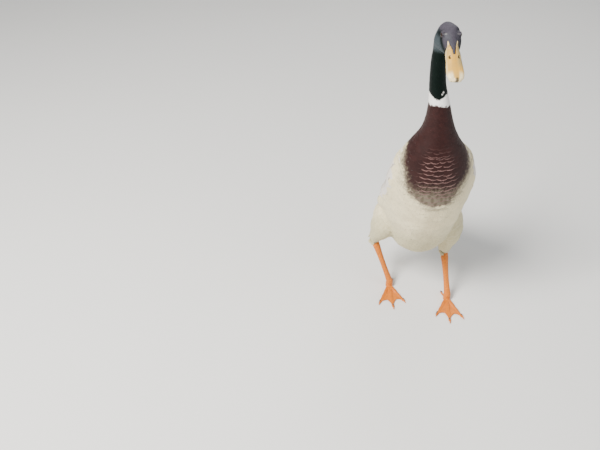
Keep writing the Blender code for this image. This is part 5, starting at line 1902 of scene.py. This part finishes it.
class DRAKE_OT_bill(DrakeOperator):
    """Makes both halves of the bill with nostrils and nail"""

    bl_idname = "drake.bill"
    bl_label = "Bill"

    def execute(self, context):
        for node, rounds in (("bill_upper", 5), ("bill_lower", 4)):
            upper = node == "bill_upper"
            forms = (node_surface(node), prong_forms()) if upper else (node_surface(node),)
            points, faces = melted(node + "_lump", *joined(*forms), BILL_GRAIN, rounds)
            made = grown("horn_" + node, points, faces, "bill horn")
            side, ahead, rise = within(BILL_AXES, points)
            out = abs(side) / curve(*outline(BILL_WIDTH), ahead)
            root = falling(ahead, 0.004, 0.020) * smooth_step(out, 0.1, 0.7)
            # Painted shade: the far side of the bill's rear half is darkened with the olive tint.
            far_side_shade = falling(side, -0.007, -0.001) * falling(ahead, 0.030, 0.045)
            # Painted highlight: pale patches either side of the nail at the tip, in the edge colour.
            tip = smooth_step(ahead, 0.042, 0.052) * smooth_step(out, 0.2, 0.5)
            ridge = falling(out, 0.05, 0.42) * falling(ahead, 0.030, 0.050)
            colour = mixed(paint("bill"), paint("bill_stain_and_shade"), 0.55 * root)
            colour = mixed(colour, paint("bill_stain_and_shade"), 0.8 * far_side_shade)
            colour = mixed(colour, paint("bill_edge_and_highlight"), np.maximum(smooth_step(out, 0.78, 0.98) * 0.6, tip))
            colour = mixed(colour, paint("bill") * np.array(RIDGE_TINT), ridge * 0.6)
            nail = falling(off_spot(NAIL, ahead, side), 0.85, 1.15)
            colour = mixed(colour, paint("nail"), nail * (0.95 if upper else 0.2))
            # Painted shade: the nostrils are dark ovals in the nail's colour, standing in for the shade inside the
            # openings.
            deep = falling(off_spot(NOSTRIL, ahead, abs(side)), 0.7, 1.0)
            colour = mixed(colour, paint("nail"), deep * upper)
            set_colours(made.data, "plume", colour)
            unwrap(made, turn_share(side, rise + 0.002), 0.03 + np.clip((ahead + 0.012) / 0.075, 0, 1) * 0.94)
            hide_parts(node)
        return {"FINISHED"}


LEG_GRAIN = 0.00065
# Feet: ankle, top of the shank, how far the toes turn in, in degrees, and which side they are on
FEET = {
    "left": ((0.066218, -0.06321, 0.013), (0.056718, -0.01721, 0.0900), 4, 1),
    "right": ((-0.043882, -0.02621, 0.013), (-0.079282, 0.00679, 0.0995), 2, -1),
}
# Toes: angle in degrees, length and half width; the hind toe's way back, length and half width
TOES = ((-27, 0.050, 0.0042), (0, 0.060, 0.0044), (27, 0.054, 0.0042))
HIND_ASIDE, HIND = 0.55, (0.016, 0.0026)
# Furrows between the scales, and the sizes that the unwrap of a leg goes by
JOINTS, JOINTS_ABOVE, FOOT_TOP, FOOT_LONG, SHANK_LONG = 1900, 0.014, 0.0135, 0.075, 0.10
# Claws: lengths of the hind one and the others, how far they start inside the toe, height, drop, half width, tip
CLAW_LONG, CLAW_IN, CLAW_HIGH, CLAW_DROP, CLAW_HALF, CLAW_TIP = (0.0040, 0.0060), 0.0018, 0.0026, 0.0016, 0.0015, 0.0002
# Scales: how many on a shank, lengths and steps, their lift at the root and beyond, and their ridge
SCUTE_LIFTS, SCUTE_RIDGE = (0.00002, 0.00028), 0.00012
SHANK_SCUTES, SHANK_SCUTE_LONG, TOE_SCUTE_LONG, TOE_SCUTE_STEP = 24, 0.0052, 0.0048, 0.0034


def toe_lines(name):
    """Start, direction, length and half width of each toe of a foot, the hind toe last."""
    ankle, _, toes_in, side = FEET[name]
    start = Vector((ankle[0], ankle[1] + 0.002, 0))
    rows = []
    for off, length, half in TOES:
        turn = side * math.radians(off - toes_in)
        rows.append((start, Vector((math.sin(turn), -math.cos(turn), 0)), length, half))
    rows.append((start, Vector((-side * HIND_ASIDE, 1, 0)).normalized(), *HIND))
    return rows


def scute_rows(name, leg):
    """Roots, ways, lengths and half widths of the scales on the front of the shank and along the toes."""
    ankle, top = (Vector(spot) for spot in FEET[name][:2])
    roots, ways, lengths, halves = [], [], [], []

    def add(start, ray, way, length, half):
        """Adds a scale where the ray meets the leg."""
        spot, _, _, _ = leg.tree.ray_cast(start, ray)
        if spot is not None:
            for rows, value in ((roots, spot), (ways, way), (lengths, length), (halves, half)):
                rows.append(value)

    for k in range(SHANK_SCUTES):
        centre = top + (ankle - top) * (0.02 + 0.94 * k / SHANK_SCUTES)
        for turn in (-28, 28) if k % 2 else (0,):
            out = Vector((math.sin(math.radians(turn)), -math.cos(math.radians(turn)), 0))
            half = 0.0026 if k % 2 else 0.0036
            add(centre + out * 0.03, -out, (ankle - top).normalized(), SHANK_SCUTE_LONG, half)
    for start, direction, length, half in toe_lines(name):
        number = max(4, int(length / TOE_SCUTE_STEP))
        for k in range(number):
            share = 0.10 + 0.84 * k / number
            over = start + direction * (length * share) + Vector((0, 0, 0.03))
            add(over, Vector((0, 0, -1)), direction, TOE_SCUTE_LONG, half * (0.92 - 0.4 * share))
    return [np.array(rows) for rows in (roots, ways, lengths, halves)]


class DRAKE_OT_legs(DrakeOperator):
    """Makes the bare shanks and webbed feet with their scales and claws"""

    bl_idname = "drake.legs"
    bl_label = "Legs"

    def execute(self, context):
        for name, side in SIDES:
            points, faces = melted("leg_lump", *node_surface("shank_" + name, "foot_" + name), LEG_GRAIN, 3)
            made = grown("leg_" + name, points, faces, "leg hide")
            leg = Surface(points, faces)
            height = points[:, 2]
            ankle = np.array(FEET[name][0])
            out = np.linalg.norm(points[:, :2] - ankle[:2], axis=1)
            joints = np.sin(height * JOINTS) * 0.5 + 0.5
            colour = paint("leg") * (1 - 0.15 * (joints * (height > JOINTS_ABOVE))[:, None])
            web = falling(height, 0.0016, 0.0030) * smooth_step(out, 0.012, 0.024)
            colour = mixed(colour, paint("leg") * 0.85, web * 0.6)
            set_colours(made.data, "plume", colour)
            along = np.where(height > FOOT_TOP, 0.40 + (height - FOOT_TOP) / SHANK_LONG * 0.58, 0.38 * out / FOOT_LONG)
            unwrap(made, self.turn(points, ankle), np.clip(along, 0.005, 0.995))
            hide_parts("shank_" + name, "foot_" + name)
            roots, ways, lengths, halves = scute_rows(name, leg)
            alongs, wides = outline(SCUTE)
            centres, ups = centre_lines(leg, roots, ways, lengths, alongs)
            lifts = SCUTE_LIFTS[0] + SCUTE_LIFTS[1] * alongs[None] + np.zeros((len(roots), 1))
            grid = spread_vanes(leg, centres, ups, halves, wides, lifts, SCUTE_RIDGE)
            chance = Bird.dice.random(len(roots))
            colour = varied("leg", chance, 0.94, 0.12)
            tints = (colour, colour * 0.62, np.tile([0.7, 0.0, 0.0], (len(roots), 1)), chance)
            places = np.stack([self.turn(roots, ankle) * 0.94, np.clip(roots[:, 2] / 0.1, 0, 0.98)], axis=1)
            vane_mesh("scutes_" + name, grid, alongs, tints, places, "leg scutes", 0.02)
            self.claws(name)
        return {"FINISHED"}

    def turn(self, points, ankle):
        """The angle round the ankle, from the front, as a share of a full turn."""
        return turn_share(points[:, 0] - ankle[0], -(points[:, 1] - ankle[1]))

    def claws(self, name):
        """Makes the claws of a foot."""
        forms = []
        for start, direction, length, _ in toe_lines(name):
            long = CLAW_LONG[length > HIND[0]]
            root = start + direction * (length - CLAW_IN)
            side = Vector((-direction.y, direction.x, 0))
            rings = []
            for share in (k / 8 for k in range(9)):
                high = Vector((0, 0, CLAW_HIGH - CLAW_DROP * share**2))
                middle = root + direction * (share * (long + CLAW_IN)) + high
                size = CLAW_HALF * (1 - share**1.6) + CLAW_TIP
                ring = []
                for turn in np.linspace(0, 2 * math.pi, 12, endpoint=False):
                    ring.append(middle + side * (math.sin(turn) * size * 0.8) + Vector((0, 0, math.cos(turn) * size)))
                rings.append(ring)
            forms.append(ring_loft(rings))
        points, faces = joined(*forms)
        made = grown("claws_" + name, points, faces, "claw horn")
        set_colours(made.data, "plume", np.tile(paint("claw"), (len(points), 1)))
        spots = np.array(points)
        unwrap(made, *((spots[:, k] - spots[:, k].min()) / 0.12 for k in (0, 1)))


# Lights: place, size and colour
LIGHTS = (
    ("key", (-1.3, -1.0, 1.9), 0.9, (1.0, 0.98, 0.95)),
    ("fill", (1.4, -0.9, 1.1), 1.5, (0.94, 0.97, 1.0)),
    ("rear", (0.5, 1.5, 1.6), 1.4, (1.0, 1.0, 1.0)),
)
FLOOR_AROUND, FLOOR_RADIUS, FLOOR_DROP = 96, 4, 0.0002
LOOK_AT = Vector((0, 0, 0.25))
AIR_COLOUR = (0.93, 0.96, 1.0, 1)
CAMERA_PLACE = (-0.224282, -0.96021, 0.913)
CAMERA_DOWN = math.radians(51)


class DRAKE_OT_stage(DrakeOperator):
    """Makes the floor, the soft lights and the camera"""

    bl_idname = "drake.stage"
    bl_label = "Studio"

    def execute(self, context):
        settings = context.scene.drake_stage
        turns = [2 * math.pi * k / FLOOR_AROUND for k in range(FLOOR_AROUND)]
        points = [(FLOOR_RADIUS * math.cos(t), FLOOR_RADIUS * math.sin(t), -FLOOR_DROP) for t in turns]
        floor = mesh_object("studio_floor", points, [tuple(range(FLOOR_AROUND))])
        floor.data.materials.append(floor_material(settings.floor))
        for name, place, size, colour in LIGHTS:
            self.light(name, place, size, settings.key if name == "key" else settings.fill, colour)
        world = bpy.data.worlds.new("studio air")
        world.use_nodes = True
        air = world.node_tree.nodes["Background"]
        air.inputs["Color"].default_value = AIR_COLOUR
        air.inputs["Strength"].default_value = settings.sky
        context.scene.world = world
        camera = placed("camera", bpy.data.cameras.new("camera"))
        camera.data.lens = settings.lens
        camera.data.sensor_width = 36
        camera.location = CAMERA_PLACE
        camera.rotation_euler = (CAMERA_DOWN, 0, 0)
        context.scene.camera = camera
        return {"FINISHED"}

    def light(self, name, place, size, power, colour):
        """Places a soft square light that looks at the bird."""
        lamp = placed(name, bpy.data.lights.new(name, "AREA"))
        lamp.data.size = size
        lamp.data.energy = power
        lamp.data.color = colour
        lamp.location = place
        lamp.rotation_euler = (LOOK_AT - Vector(place)).to_track_quat("-Z", "Y").to_euler()


STEPS = (
    DRAKE_OT_materials,
    DRAKE_OT_skin,
    DRAKE_OT_trunk_coat,
    DRAKE_OT_head_coat,
    DRAKE_OT_thigh_coat,
    DRAKE_OT_wings,
    DRAKE_OT_tail,
    DRAKE_OT_eyes,
    DRAKE_OT_bill,
    DRAKE_OT_legs,
    DRAKE_OT_stage,
)


class DRAKE_PT_panel(bpy.types.Panel):
    """Lists the settings and the steps"""

    bl_label = "Indian Runner Drake"
    bl_idname = "DRAKE_PT_panel"
    bl_space_type = "VIEW_3D"
    bl_region_type = "UI"
    bl_category = "Drake"

    def draw(self, context):
        for group in (context.scene.drake_coat, context.scene.drake_colours, context.scene.drake_stage):
            box = self.layout.box()
            for key in group.__annotations__:
                box.prop(group, key)
        for kind in STEPS:
            self.layout.operator(kind.bl_idname)


CLASSES = (DrakeCoatSettings, DrakeColourSettings, DrakeStageSettings, *STEPS, DRAKE_PT_panel)


def register():
    for kind in CLASSES:
        bpy.utils.register_class(kind)
    bpy.types.Scene.drake_coat = PointerProperty(type=DrakeCoatSettings)
    bpy.types.Scene.drake_colours = PointerProperty(type=DrakeColourSettings)
    bpy.types.Scene.drake_stage = PointerProperty(type=DrakeStageSettings)


def unregister():
    del bpy.types.Scene.drake_coat
    del bpy.types.Scene.drake_colours
    del bpy.types.Scene.drake_stage
    for kind in reversed(CLASSES):
        bpy.utils.unregister_class(kind)


def main():
    register()
    bpy.ops.drake.materials()
    bpy.ops.drake.skin()
    bpy.ops.drake.trunk_coat()
    bpy.ops.drake.head_coat()
    bpy.ops.drake.thigh_coat()
    bpy.ops.drake.wings()
    bpy.ops.drake.tail()
    bpy.ops.drake.eyes()
    bpy.ops.drake.bill()
    bpy.ops.drake.legs()
    bpy.ops.drake.stage()


if __name__ == "__main__":
    main()
